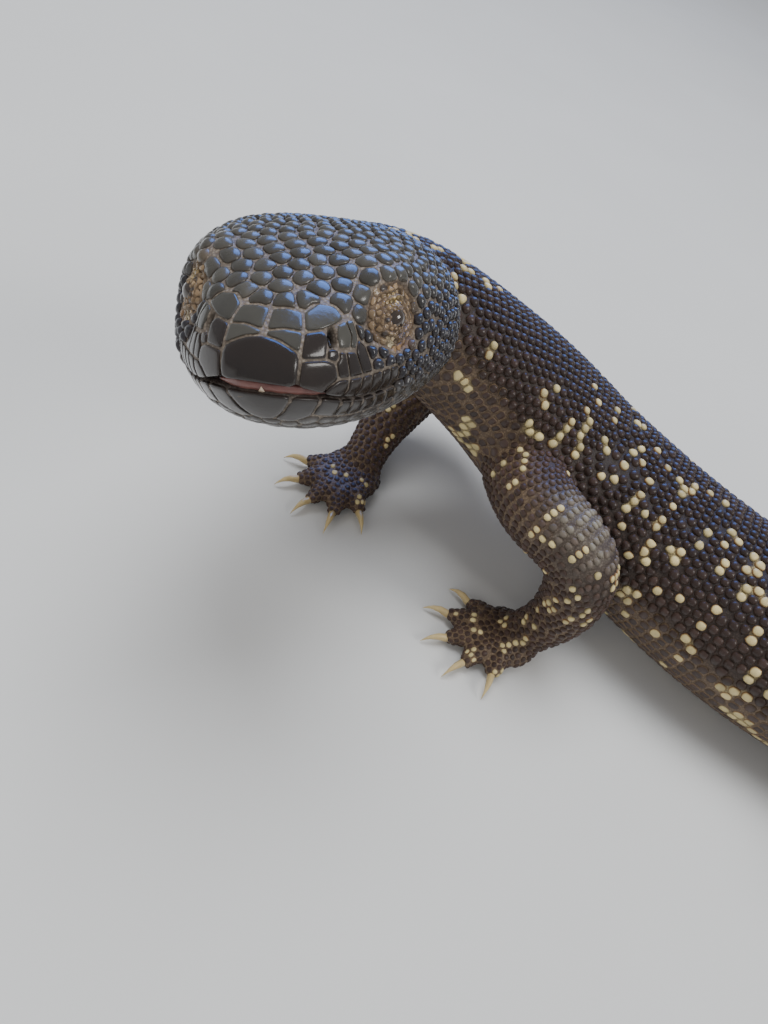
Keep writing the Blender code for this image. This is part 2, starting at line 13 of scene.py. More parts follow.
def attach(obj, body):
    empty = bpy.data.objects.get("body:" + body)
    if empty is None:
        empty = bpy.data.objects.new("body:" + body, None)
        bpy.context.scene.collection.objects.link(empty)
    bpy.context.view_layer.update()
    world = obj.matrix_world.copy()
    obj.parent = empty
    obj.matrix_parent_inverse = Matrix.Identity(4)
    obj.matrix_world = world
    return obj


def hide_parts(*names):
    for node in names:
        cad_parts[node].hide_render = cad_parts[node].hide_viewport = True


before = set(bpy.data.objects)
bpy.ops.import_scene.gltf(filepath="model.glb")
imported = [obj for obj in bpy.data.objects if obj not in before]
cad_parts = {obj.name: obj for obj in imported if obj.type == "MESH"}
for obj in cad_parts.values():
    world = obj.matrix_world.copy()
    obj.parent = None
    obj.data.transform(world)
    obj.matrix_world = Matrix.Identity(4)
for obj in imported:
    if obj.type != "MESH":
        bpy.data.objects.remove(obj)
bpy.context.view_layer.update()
bpy.ops.object.select_all(action="DESELECT")

# The spine. It runs from the back of the head over the shoulders to the tip of the tail, and all of the
# hide is laid out by the distance along it, the station, which is 0 at the shoulders. Its knots are those
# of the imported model, in metres and degrees.
NECK_LENGTH, VENT, TAIL_END = 0.083, 0.235, 0.490
STEP = 0.001
SHOULDERS = np.array((-0.1564, 0.0426, 0.0))
HEADING = [(-0.103, 79), (-0.079, 78), (-0.041, 18), (-0.004, 0), (0.050, -22), (0.140, -22), (0.240, 0),
           (0.330, 30), (0.490, 66)]
AXIS_HEIGHT = [(-0.103, 0.0970), (-0.083, 0.0880), (-0.041, 0.0755), (-0.005, 0.0605), (0.015, 0.0515),
               (0.035, 0.0430), (0.060, 0.0365), (0.090, 0.0322), (0.160, 0.0318), (0.205, 0.0312),
               (0.240, 0.0255), (0.285, 0.0180), (0.340, 0.0140), (0.410, 0.0098), (0.490, 0.0042)]
NECK_ROLL = [(-0.083, -18), (-0.050, -14), (0.010, 0), (0.490, 0)]


def through(knots):
    """The smooth function through (place, value) knots, level beyond them."""
    places, values = (np.array(column, float) for column in zip(*knots))
    slopes = np.gradient(values, places)
    slopes[0] = slopes[-1] = 0.0

    def value(at):
        at = np.clip(at, places[0], places[-1])
        k = np.minimum(np.searchsorted(places, at, side="right") - 1, len(places) - 2)
        span = places[k + 1] - places[k]
        t = (at - places[k]) / span
        rise = 3 * t**2 - 2 * t**3
        lead = (t**3 - 2 * t**2 + t) * slopes[k] + (t**3 - t**2) * slopes[k + 1]
        return values[k] * (1 - rise) + values[k + 1] * rise + lead * span

    return value


def unit(vectors):
    return vectors / np.maximum(np.linalg.norm(vectors, axis=-1, keepdims=True), 1e-12)


heading, axis_height, neck_roll = through(HEADING), through(AXIS_HEIGHT), through(NECK_ROLL)


def tailward(station):
    """The spine's direction towards the tail."""
    fall = (axis_height(station + STEP / 2) - axis_height(station - STEP / 2)) / STEP
    level, turn = np.sqrt(np.maximum(0.0, 1 - fall**2)), np.radians(heading(station))
    return np.stack([level * np.cos(turn), level * np.sin(turn), fall], axis=-1)


STATIONS = np.arange(-round(NECK_LENGTH / STEP) - 1, round(TAIL_END / STEP) + 2) * STEP
AXIS = np.cumsum(np.concatenate([np.zeros((1, 3)), tailward(STATIONS[:-1] + STEP / 2) * STEP]), axis=0)
AXIS += SHOULDERS + (0, 0, axis_height(0.0)) - AXIS[np.argmin(abs(STATIONS))]


def spine_frame(station):
    """(point, tailward, left, up) of the spine at each station. The neck rolls with the head."""
    station = np.asarray(station, float)
    point = np.stack([np.interp(station, STATIONS, AXIS[:, k]) for k in range(3)], axis=-1)
    along = tailward(station)
    left = unit(np.cross((0.0, 0.0, 1.0), -along))
    up = np.cross(-along, left)
    roll = np.radians(neck_roll(station))[..., None]
    return point, along, left * np.cos(roll) - up * np.sin(roll), up * np.cos(roll) + left * np.sin(roll)


# Neck, trunk and tail under the beads: flesh and bone as one round form, which the hide is laid over. The
# section is a little fuller than an ellipse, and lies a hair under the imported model's, so that the beads end
# where that model's beads do.
HIDE_DEPTH, FULLNESS = 0.0004, 2.25
HALF_WIDTH = [(-0.083, 0.0235), (-0.055, 0.0215), (-0.015, 0.0240), (0.015, 0.0272), (0.070, 0.0292),
              (0.130, 0.0315), (0.180, 0.0290), (0.215, 0.0235), (0.245, 0.0190), (0.290, 0.0165),
              (0.350, 0.0140), (0.420, 0.0100), (0.470, 0.0060), (0.490, 0.0028)]
REACH_UP = [(-0.083, 0.0190), (-0.040, 0.0190), (0.010, 0.0222), (0.070, 0.0243), (0.130, 0.0248),
            (0.190, 0.0215), (0.240, 0.0180), (0.290, 0.0160), (0.350, 0.0138), (0.420, 0.0100),
            (0.470, 0.0060), (0.490, 0.0028)]
REACH_DOWN = [(-0.083, 0.0195), (-0.040, 0.0190), (0.010, 0.0222), (0.070, 0.0242), (0.130, 0.0255),
              (0.190, 0.0235), (0.240, 0.0190), (0.290, 0.0165), (0.350, 0.0142), (0.420, 0.0102),
              (0.470, 0.0062), (0.490, 0.0034)]
half_width, reach_up, reach_down = through(HALF_WIDTH), through(REACH_UP), through(REACH_DOWN)


def rounded(value, power):
    """A sine or cosine drawn out towards a box."""
    return np.copysign(np.abs(value) ** (2 / power), value)


def body_surface(station, angle):
    """The hide of neck, trunk and tail. The angle is 0 along the back and grows towards the left side."""
    point, _, left, up = spine_frame(station)
    reach = np.where(np.cos(angle) > 0, reach_up(station), reach_down(station)) - HIDE_DEPTH
    aside = ((half_width(station) - HIDE_DEPTH) * rounded(np.sin(angle), FULLNESS))[..., None]
    return point + left * aside + up * (reach * rounded(np.cos(angle), FULLNESS))[..., None]


def shell(rings):
    """Points and faces of a closed tube through rings of points, with a flat cap on each end."""
    rows, around = rings.shape[:2]
    at = np.arange(rows * around).reshape(rows, around)
    beside = np.roll(at, -1, axis=1)
    quads = np.stack([at[:-1], beside[:-1], beside[1:], at[1:]], axis=-1).reshape(-1, 4)
    return rings.reshape(-1, 3), [list(q) for q in quads] + [list(at[0][::-1]), list(at[-1])]


def mesh_object(name, points, faces):
    data = bpy.data.meshes.new(name)
    data.from_pydata([tuple(p) for p in points], [], faces)
    made = bpy.data.objects.new(name, data)
    bpy.context.scene.collection.objects.link(made)
    return made


ROUND = np.linspace(0, 2 * np.pi, 72, endpoint=False)
tube_stations = np.arange(-NECK_LENGTH - STEP, TAIL_END - STEP / 2, STEP)
body_parts = [mesh_object("trunk_under", *shell(body_surface(tube_stations[:, None], ROUND[None, :])))]


# The head under its plates: a broad flat skull with a blunt snout, swollen jaw muscles behind the mouth, a
# bony brow and a hollow for each eye. Its own frame has x forward from the neck, y left and z up.
HEAD_LENGTH, HEAD_REACH = 0.072, 0.10
SNOUT_BLUNT, CROWN_FULLNESS, CHIN_FULLNESS = 6, 2.8, 2.2
HEAD_WIDE = [(0, 0.0232), (0.010, 0.0272), (0.024, 0.0290), (0.040, 0.0265), (0.052, 0.0228),
             (0.062, 0.0190), (0.072, 0.0160)]
HEAD_TOP = [(0, 0.0185), (0.015, 0.0205), (0.035, 0.0205), (0.050, 0.0178), (0.062, 0.0148), (0.072, 0.0125)]
HEAD_BOTTOM = [(0, 0.0190), (0.020, 0.0205), (0.040, 0.0185), (0.060, 0.0150), (0.072, 0.0125)]
HEAD_DROP = [(0, 0.0), (0.030, -0.0005), (0.072, -0.0045)]
# Brow, jaw muscle and the eye's hollow: (place from the neck, to the side, up), swelling, spread
HEAD_FORMS = [((0.046, 0.0185, 0.0150), 0.0018, 0.009), ((0.018, 0.0260, 0.0010), 0.0020, 0.014),
              ((0.0495, 0.0225, 0.0070), -0.0012, 0.006)]
head_wide, head_top = through(HEAD_WIDE), through(HEAD_TOP)
head_bottom, head_drop = through(HEAD_BOTTOM), through(HEAD_DROP)
head_at, head_back, head_left, head_up = spine_frame(-NECK_LENGTH)
HEAD_AXES = np.array([-head_back, head_left, head_up])


def head_surface(x, angle):
    """The head's hide in the world, by the distance from the neck and the angle from the crown."""
    close = np.sqrt(np.maximum(0.0, 1 - (x / HEAD_LENGTH) ** SNOUT_BLUNT))
    above = np.cos(angle) > 0
    power = np.where(above, CROWN_FULLNESS, CHIN_FULLNESS)
    reach = np.where(above, head_top(x), head_bottom(x)) * close
    y = head_wide(x) * close * rounded(np.sin(angle), power)
    z = reach * rounded(np.cos(angle), power)
    x = x + 0 * y
    out = unit(np.stack([0 * y, y, z], axis=-1))
    point = np.stack([x, y, z + head_drop(x)], axis=-1)
    for (at, side, height), swell, spread in HEAD_FORMS:
        middle = np.stack([at + 0 * y, np.copysign(side, y), height + 0 * y], axis=-1)
        away = np.linalg.norm(point - middle, axis=-1, keepdims=True) / spread
        point = point + out * swell * np.exp(-2 * away**2)
    return head_at + (point - out * HIDE_DEPTH) @ HEAD_AXES


def in_head_frame(points):
    return (points - head_at) @ HEAD_AXES.T


def head_side(points):
    """Points in the head's frame, with those of limbs and trunk put far behind it."""
    local = in_head_frame(points)
    return np.where(np.linalg.norm(local, axis=1, keepdims=True) < HEAD_REACH, local, (-1.0, 0.0, 0.0))


# The rings close up towards the snout's end, where the form bends most.
SNOUT_FROM = 0.058
snout_end = HEAD_LENGTH * (1 - np.linspace(1, 0, 14)[1:] ** 3 * 0.2)
even_places = np.arange(-0.002, SNOUT_FROM, STEP)
head_places = np.unique(np.concatenate([even_places, snout_end[snout_end > SNOUT_FROM]]))
body_parts.append(mesh_object("head_under", *shell(head_surface(head_places[:-1, None], -ROUND[None, :]))))


# Limbs, hands and feet under their scales: short stout muscle. A limb is a tube through its joints, which
# are (towards the tail, out to the side, height) from the spine at the limb's station, and it ends in a
# flat pad with five toes. Pads are given by their half sizes and toes by their lengths, turns and heights.
FORE_RADII = [(0, 0.0130), (0.35, 0.0118), (0.52, 0.0108), (0.72, 0.0098), (0.92, 0.0076), (1, 0.0074)]
HIND_RADII = [(0, 0.0150), (0.35, 0.0140), (0.52, 0.0122), (0.72, 0.0106), (0.92, 0.0082), (1, 0.0080)]
LIMBS = {
    "fore_left": dict(
        station=0.006, side=1, radii=FORE_RADII, toes_along=(-0.94, 0.34),
        joints=[(0.001, 0.008, 0.049), (0.010, 0.040, 0.0505), (0.028, 0.0502, 0.052), (0.034, 0.0495, 0.024),
                (0.027, 0.048, 0.0062)]),
    "fore_right": dict(
        station=0.006, side=-1, radii=FORE_RADII, toes_along=(-0.45, -0.89),
        joints=[(0.000, 0.008, 0.046), (-0.004, 0.036, 0.042), (-0.026, 0.036, 0.032), (-0.037, 0.016, 0.017),
                (-0.040, -0.002, 0.0062)]),
    "hind_left": dict(
        station=0.205, side=1, radii=HIND_RADII, toes_along=(-0.75, 0.66),
        joints=[(0.000, 0.006, 0.032), (-0.005, 0.036, 0.034), (-0.021, 0.054, 0.032), (-0.016, 0.067, 0.017),
                (-0.004, 0.068, 0.0066)]),
    "hind_right": dict(
        station=0.205, side=-1, radii=HIND_RADII, toes_along=(-0.30, 0.95),
        joints=[(0.000, 0.006, 0.032), (0.004, 0.037, 0.034), (0.014, 0.062, 0.030), (0.032, 0.062, 0.016),
                (0.044, 0.056, 0.0066)]),
}
PADS = {"fore": (0.0110, 0.0115, 0.0058), "hind": (0.0122, 0.0122, 0.0060)}
PAD_AHEAD, CORNER = 0.0038, 0.010
TOE_LENGTHS = {"fore": 0.0205, "hind": 0.0255}
TOE_SPREADS = [-60, -30, -3, 23, 52]
TOE_SHARES = [0.80, 0.98, 1.04, 1.0, 0.82]
TOE_HEIGHTS = [(0.22, 0.0050), (0.58, 0.0054), (0.82, 0.0038), (1.0, 0.0031)]
TOE_RADIUS = 0.0033
TOE_TAPER = [1.12, 1.08, 1.0, 0.82]


def smooth_path(points):
    """The limb's path with the corners at its joints rounded: (shares of it, points, ahead, side)."""
    points = np.array(points)
    reach = np.concatenate([[0], np.cumsum(np.linalg.norm(np.diff(points, axis=0), axis=1))])
    even = np.linspace(0, reach[-1], 200)
    path = np.stack([np.interp(even, reach, points[:, k]) for k in range(3)], axis=1)
    half = round(CORNER / (even[1] - even[0]))
    window = np.ones(2 * half + 1) / (2 * half + 1)
    for _ in range(2):
        padded = np.concatenate([2 * path[0] - path[half:0:-1], path, 2 * path[-1] - path[-2:-half - 2:-1]])
        path = np.stack([np.convolve(padded[:, k], window, "valid") for k in range(3)], axis=1)
    reach = np.concatenate([[0], np.cumsum(np.linalg.norm(np.diff(path, axis=0), axis=1))])
    ahead, side, sides = unit(np.gradient(path, axis=0)), np.array((0.0, 0.0, 1.0)), []
    for way in ahead:
        side = unit(side - way * (side @ way))
        sides.append(side)
    return reach / reach[-1], path, ahead, np.array(sides)


def turned(vector, degrees):
    """A level vector turned about the upright axis."""
    a = math.radians(degrees)
    return np.array([vector[0] * math.cos(a) - vector[1] * math.sin(a),
                     vector[0] * math.sin(a) + vector[1] * math.cos(a), 0.0])


def ring_surface(shares, spots, ahead, side, radii):
    """A tube's surface: a function from share and angle to points, for frames given at rising shares."""
    def surface(share, angle):
        def at(values):
            return np.stack([np.interp(share, shares, values[:, k]) for k in range(3)], axis=-1)

        way, across = unit(at(ahead)), at(side)
        across = unit(across - way * np.sum(across * way, axis=-1, keepdims=True))
        radius = (radii(share) - HIDE_DEPTH)[..., None]
        other = np.cross(way, across)
        return at(spots) + (across * np.cos(angle)[..., None] + other * np.sin(angle)[..., None]) * radius

    return surface


limb_surfaces, toe_surfaces, pads = {}, {}, {}
for limb_name, limb in LIMBS.items():
    point, along, _, _ = spine_frame(limb["station"])
    back = unit(np.array([along[0], along[1], 0.0]))
    out = np.cross((0.0, 0.0, 1.0), -back) * limb["side"]
    under = np.array([point[0], point[1], 0.0])
    joints = [under + back * a + out * b + (0, 0, h) for a, b, h in limb["joints"]]
    shares, path, ahead, sides = smooth_path(joints)
    limb_surfaces[limb_name] = ring_surface(shares, path, ahead, sides, through(limb["radii"]))
    body_parts.append(mesh_object("limb_under", *shell(
        limb_surfaces[limb_name](np.linspace(0.02, 1, 60)[:, None], ROUND[None, ::2]))))
    toes_along = unit(back * limb["toes_along"][0] + out * limb["toes_along"][1])
    middle = path[-1] * (1, 1, 0) + toes_along * PAD_AHEAD
    size = np.array(PADS[limb_name[:4]]) - HIDE_DEPTH
    pads[limb_name] = (middle + (0, 0, size[2] * 0.8), size, toes_along)
    bpy.ops.mesh.primitive_uv_sphere_add(segments=32, ring_count=16, radius=1)
    pad = bpy.context.object
    pad.name = "pad_under"
    pad.scale, pad.location = size, pads[limb_name][0]
    pad.rotation_euler = (0, 0, math.atan2(toes_along[1], toes_along[0]))
    bpy.ops.object.transform_apply(location=True, rotation=True, scale=True)
    body_parts.append(pad)
    for number, (spread, share) in enumerate(zip(TOE_SPREADS, TOE_SHARES), start=1):
        way = turned(toes_along, -limb["side"] * spread)
        reach = TOE_LENGTHS[limb_name[:4]] * share
        part, height = (np.array(column) for column in zip(*TOE_HEIGHTS))
        parts = np.linspace(0.0, 1.0, 12)
        height = np.interp(parts, part, height)
        spots = middle + way * (reach * parts)[:, None] + np.outer(height, (0, 0, 1))
        ahead = unit(np.gradient(spots, axis=0))
        sides = unit(np.cross(np.cross(ahead, (0.0, 0.0, 1.0)), ahead))
        taper = through(list(zip(part, np.array(TOE_TAPER) * TOE_RADIUS)))
        key = (limb_name, number)
        toe_surfaces[key] = ring_surface(parts, spots, ahead, sides, taper), spots, way, reach
        body_parts.append(mesh_object("toe_under", *shell(
            toe_surfaces[key][0](np.linspace(0.0, 1, 16)[:, None], ROUND[None, ::4]))))


# The hide: soft dusty brown skin, one closed sheet over head, neck, trunk, tail, limbs and feet, so that
# nothing on it has a seam. It is grown over the forms above, smoothed, and made finer on the head, where
# lids, ears, nostrils and lips are worked into it.
HIDE_GRAIN, FLOOR_CLEAR = 0.0016, 0.0005
bpy.ops.object.select_all(action="DESELECT")
for piece in body_parts:
    piece.select_set(True)
bpy.context.view_layer.objects.active = body_parts[0]
bpy.ops.object.join()
hide = bpy.context.object
hide.name = hide.data.name = "hide"
grow = hide.modifiers.new("grow", "REMESH")
grow.mode, grow.voxel_size = "VOXEL", HIDE_GRAIN
ease = hide.modifiers.new("ease", "SMOOTH")
ease.factor, ease.iterations = 0.5, 4
bpy.ops.object.modifier_apply(modifier="grow")
bpy.ops.object.modifier_apply(modifier="ease")


def finer(mesh, near):
    """Splits the faces whose middles lie where near says into four."""
    middles = np.array([face.calc_center_median() for face in mesh.faces])
    chosen = near(head_side(middles))
    edges = {edge for face, yes in zip(mesh.faces, chosen) if yes for edge in face.edges}
    bmesh.ops.subdivide_edges(mesh, edges=list(edges), cuts=1, use_grid_fill=True)


EYE_AT, EAR_AT = (0.0495, math.radians(68)), (0.0080, math.radians(88))
EYE_RADIUS, EYE_STANDS_OUT, EYE_GAP = 0.0030, 0.0010, 0.0001
HEAD_MIDDLE = np.array((0.045, 0.0, -0.002))
# The mouth by degrees sideways: its line in degrees upwards from the middle of the head, and half its gape
MOUTH_LINE = [(0, -10.3), (15, -11.6), (24, -13.3), (35, -16.3), (44, -18.3), (54, -18.3), (65, -16.4),
              (77, -13.4), (90, -10.5)]
GAPE = [(0, 0.00100), (14, 0.00100), (27, 0.00075), (38, 0.00042), (60, 0.00030), (90, 0.00020)]
mouth_line, gape_at = through(MOUTH_LINE), through(GAPE)
NOSTRIL_WAY = (30.3, 10.6)
# How far from each the skin is made finer
LID_FINE, SLIT_FINE, EAR_FINE, NOSTRIL_FINE, LIP_FINE = 0.0078, 0.0030, 0.0050, 0.0034, 0.0022


def ways_of(points):
    """Degrees sideways and upwards, and distance, from the middle of the head, for points in its frame."""
    x, y, z = (points - HEAD_MIDDLE).T
    sideways, upwards = np.degrees(np.arctan2(y, x)), np.degrees(np.arctan2(z, np.hypot(x, y)))
    return sideways, upwards, np.sqrt(x * x + y * y + z * z)


def way_out(sideways, upwards):
    """Directions from the middle of the head in its frame."""
    a, b = np.radians(sideways), np.radians(upwards)
    return np.stack([np.cos(b) * np.cos(a), np.cos(b) * np.sin(a), np.sin(b) + 0 * a], axis=-1)


def place_on_head(x, angle):
    """(point, ahead, over, out) on the head's side, in the head's frame."""
    x, angle = np.array(float(x)), np.array(float(angle))
    point = in_head_frame(head_surface(x, angle))
    along = in_head_frame(head_surface(x + 0.0005, angle)) - in_head_frame(head_surface(x - 0.0005, angle))
    round_it = in_head_frame(head_surface(x, angle + 0.02)) - in_head_frame(head_surface(x, angle - 0.02))
    out = unit(np.cross(round_it, along))
    out = out if out @ (0, point[1], point[2]) > 0 else -out
    ahead = unit(np.array((1.0, 0, 0)) - out * out[0])
    over = np.cross(out, ahead)
    return point, ahead, over if over[2] > 0 else -over, out


eye_places = [place_on_head(EYE_AT[0], side * EYE_AT[1]) for side in (1, -1)]
ear_places = [place_on_head(EAR_AT[0], side * EAR_AT[1]) for side in (1, -1)]


def near_any(points, places, reach):
    away = [np.linalg.norm(points - place[0], axis=-1) for place in places]
    return np.min(away, axis=0) < reach


def by_lips(points, reach):
    sideways, upwards, distance = ways_of(points)
    return (abs(sideways) < 92) & (abs(np.radians(upwards - mouth_line(abs(sideways)))) * distance < reach)


def by_nostril(points, reach):
    sideways, upwards, distance = ways_of(points)
    return np.radians(np.hypot(abs(sideways) - NOSTRIL_WAY[0], upwards - NOSTRIL_WAY[1])) * distance < reach


mesh = bmesh.new()
mesh.from_mesh(hide.data)
finer(mesh, lambda q: q[:, 0] > -0.001)
finer(mesh, lambda q: near_any(q, eye_places, LID_FINE) | near_any(q, ear_places, EAR_FINE)
      | by_nostril(q, NOSTRIL_FINE) | by_lips(q, LIP_FINE))
finer(mesh, lambda q: near_any(q, eye_places, SLIT_FINE))
mesh.to_mesh(hide.data)
mesh.free()

hide_points = np.empty(len(hide.data.vertices) * 3)
hide.data.vertices.foreach_get("co", hide_points)
hide_points = hide_points.reshape(-1, 3)
hide_normals = np.array([v.vector for v in hide.data.vertex_normals])
head_points = head_side(hide_points)


def bump(away, spread):
    return np.exp(-((away / spread) ** 2))


def off_place(points, place, ahead, above):
    """How far points are from a place on the head, by an ellipse's reach ahead and above it."""
    offset = points - place[0]
    return np.hypot(offset @ place[1] / ahead, offset @ place[2] / above)


# The brow's corner, and the hollows before and under the eye: swelling, its middle in degrees, its relative
# reach sideways and upwards, and its spread in degrees
HEAD_SWELLS = [(0.0013, (78, 44), (1.6, 1.0), 10), (-0.0017, (55, 14), (1.0, 1.3), 10),
               (-0.0008, (80, 19), (1.2, 1.0), 14)]
sideways, upwards, distance = ways_of(head_points)
front = (head_points[:, 0] > 0.035) & (abs(sideways) < 110)
shape = sum(swelling * bump(np.hypot((abs(sideways) - side) / wide, (upwards - height) / tall), spread)
            for swelling, (side, height), (wide, tall), spread in HEAD_SWELLS)
hide_points = hide_points + hide_normals * np.where(front, shape, 0.0)[:, None]
head_points = head_side(hide_points)
hide.data.calc_loop_triangles()
plain_head = BVHTree.FromPolygons([Vector(p) for p in head_points],
                                  [tuple(t.vertices) for t in hide.data.loop_triangles])
# Each eye has a cushion of lids with ring folds, a slit with a rim above and below, and a ridge over it.
LID_OPEN, LID_LONG = 0.00062, 0.0015
FOLD_HEIGHT, FOLD_PITCH = 0.00034, 0.00145
SLIT_DEEP, EAR_DEEP, NOSTRIL_DEEP, MOUTH_DEEP = 0.0026, 0.0022, 0.0022, 0.0022
EAR_WIDE, EAR_TALL, PLATE_BED = 0.0012, 0.0032, 0.00035
rise, fold_shade = np.zeros(len(hide_points)), np.zeros(len(hide_points))
from_eye, by_eye = np.full(len(hide_points), 1.0), np.zeros((len(hide_points), 2))
for place in eye_places:
    offset = head_points - place[0]
    u, v, w = offset @ place[1], offset @ place[2], offset @ place[3]
    away = np.hypot(u / 1.15, v)
    here = (abs(w) < 0.007) & (away < 0.011)
    lids = 0.0012 * bump(away, 0.0030) - 0.0006 * bump(away - 0.0052, 0.0012)
    brow = 0.0010 * bump(np.hypot(u / 1.5, v - 0.0058), 0.0022)
    brow += 0.0009 * bump(np.hypot(u / 2.2, v - 0.0014 + 60 * u * u), 0.0008)
    brow += 0.0005 * bump(np.hypot(u / 2.0, v + 0.0014), 0.0006)
    wavy = away - 0.0022 + 0.0003 * np.sin(5 * np.arctan2(v, u))
    folds = FOLD_HEIGHT * np.cos(2 * np.pi * wavy / FOLD_PITCH) * bump(away - 0.0042, 0.0021)
    slit = np.hypot(u / LID_LONG, (v - 0.25 * u**2 / LID_LONG) / LID_OPEN)
    opening = -SLIT_DEEP / (1 + slit**8)
    rise += np.where(here, lids + brow + folds + opening, 0.0)
    from_eye = np.minimum(from_eye, np.where(here, away, 1.0))
    by_eye[here] = np.stack([u, v], axis=1)[here]
    fold_shade[here] = np.clip(-folds / 0.00030, 0, 1)[here]
for place in ear_places:
    away = off_place(head_points, place, EAR_WIDE, EAR_TALL)
    here = abs((head_points - place[0]) @ place[3]) < 0.006
    rise += np.where(here, -EAR_DEEP / (1 + away**6) + 0.0004 * bump(away - 1.5, 0.4), 0.0)
sideways, upwards, distance = ways_of(head_points)
from_nostril = np.hypot((abs(sideways) - NOSTRIL_WAY[0]) / 1.9, (upwards - NOSTRIL_WAY[1]) / 4.2)
front = (head_points[:, 0] > 0.04) & (abs(sideways) < 60)
cup = -NOSTRIL_DEEP / (1 + from_nostril**5) + 0.0003 * bump(from_nostril - 1.5, 0.35)
rise += np.where(front, cup, 0.0)
from_lips = np.radians(upwards - mouth_line(abs(sideways))) * distance
gape = gape_at(abs(sideways))
mouth_side = (head_points[:, 0] > 0.030) & (abs(sideways) < 92)
in_mouth = np.where(mouth_side, 1 / (1 + (from_lips / gape) ** 8), 0.0)
deep = MOUTH_DEEP * np.clip((92 - abs(sideways)) / 12, 0, 1)
swell = np.where(from_lips < 0, 0.00030, 0.00022 * np.clip((abs(sideways) - 30) / 10, 0, 1) - 0.00015)
by_middle, over_lips = np.clip((17 - abs(sideways)) / 4, 0, 1), np.clip(from_lips / 0.001, 0, 1)
rise -= PLATE_BED * by_middle * over_lips * np.clip((6 - upwards) / 3, 0, 1) * (head_points[:, 0] > 0.05)
lips = np.where(head_points[:, 0] > 0.040, swell * bump(abs(from_lips) - gape - 0.0009, 0.0008), 0.0)
rise += -deep * in_mouth + lips
on_head = np.clip((head_points[:, 0] + 0.001) / 0.003, 0, 1)
hide_points = hide_points + hide_normals * (rise * on_head)[:, None]
hide_points[:, 2] = np.maximum(hide_points[:, 2], FLOOR_CLEAR)
hide.data.vertices.foreach_set("co", hide_points.ravel())
hide.data.update()
hide.data.shade_smooth()
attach(hide, "root")
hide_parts(*[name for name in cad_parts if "claw" not in name and "eye" not in name])

# Its colours: brown on the back, tan low on the flanks and on the belly, pale on the head, ochre on the lids,
# and painted shade, dark in the lids' folds, the nostrils and the open mouth
BACK_SKIN, FLANK_SKIN, BELLY_SKIN = (0.050, 0.037, 0.031), (0.095, 0.062, 0.044), (0.30, 0.21, 0.125)
HEAD_SKIN, LIP_SKIN, FOLD_SHADE = (0.36, 0.31, 0.25), (0.150, 0.120, 0.095), (0.050, 0.032, 0.022)
NOSTRIL_SHADE, MOUTH_SHADE, LID_TAN = (0.012, 0.009, 0.008), (0.030, 0.014, 0.012), (0.250, 0.170, 0.095)
# Patches on the lids by (ahead, above) of the eye, (reach ahead, reach above) in millimetres, and colour. The
# last, dark round the slit, is painted shade in the eye's hollow.
LID_PATCHES_AND_SLIT_SHADE = [
    ((-0.6, 3.0), (1.9, 1.3), (0.44, 0.32, 0.12)), ((3.0, -4.3), (1.1, 1.1), (0.62, 0.53, 0.34)),
    ((-0.8, -6.0), (3.4, 0.9), (0.42, 0.23, 0.09)), ((0.0, 0.0), (1.9, 1.3), (0.060, 0.040, 0.028)),
]
ground = np.tile(np.array(BACK_SKIN), (len(hide_points), 1))


def washed(colour, share):
    """Lays a colour over the skin, by a share for each point."""
    share = np.clip(share, 0, 1)[:, None]
    ground[:] = ground * (1 - share) + np.array(colour) * share


def tree_of(points):
    """A tree that finds which of the points are nearest to a place."""
    tree = KDTree(len(points))
    for k, point in enumerate(points):
        tree.insert(point, k)
    tree.balance()
    return tree


axis_tree = tree_of(AXIS)
nearest = np.array([axis_tree.find(p)[1] for p in hide_points.tolist()])
offset = unit(hide_points - AXIS[nearest])
from_top = np.arccos(np.clip(np.sum(offset * spine_frame(STATIONS)[3][nearest], axis=1), -1, 1))
washed(FLANK_SKIN, np.clip((from_top - 0.7) / 0.6, 0, 1))
washed(BELLY_SKIN, np.clip((from_top - 1.27) / 0.22, 0, 0.85))
washed(HEAD_SKIN, np.clip(0.30 + head_points[:, 0] / 0.060, 0, 0.9))


def lid_colour_and_slit_shade(spots):
    """The lids' colour at places (ahead, above) of the eye, with painted shade dark round the slit."""
    colour = np.tile(np.array(LID_TAN), (len(spots), 1))
    for middle, reach, tone in LID_PATCHES_AND_SLIT_SHADE:
        away = np.hypot(*((spots * 1000 - middle) / reach).T)
        share = bump(away, 1.0)[:, None]
        colour = colour * (1 - share) + np.array(tone) * share
    return colour


lid_share = np.clip(1.15 - (from_eye - 0.0055) / 0.0012, 0, 1)[:, None]
ground[:] = ground * (1 - lid_share) + lid_colour_and_slit_shade(by_eye) * lid_share
# Painted shade: the troughs of the lid folds are darker.
washed(FOLD_SHADE, fold_shade * 0.6 * (from_eye < 0.007))
# Painted shade: the nostrils are dark in their hollows.
washed(NOSTRIL_SHADE, 1.6 * bump(from_nostril, 1.0) * front)
washed(LIP_SKIN, 0.8 * bump(abs(from_lips) - gape, 0.0014) * (head_points[:, 0] > 0.036))
# Painted shade: the sunken slit of the open mouth is dark.
washed(MOUTH_SHADE, 2.0 * in_mouth)


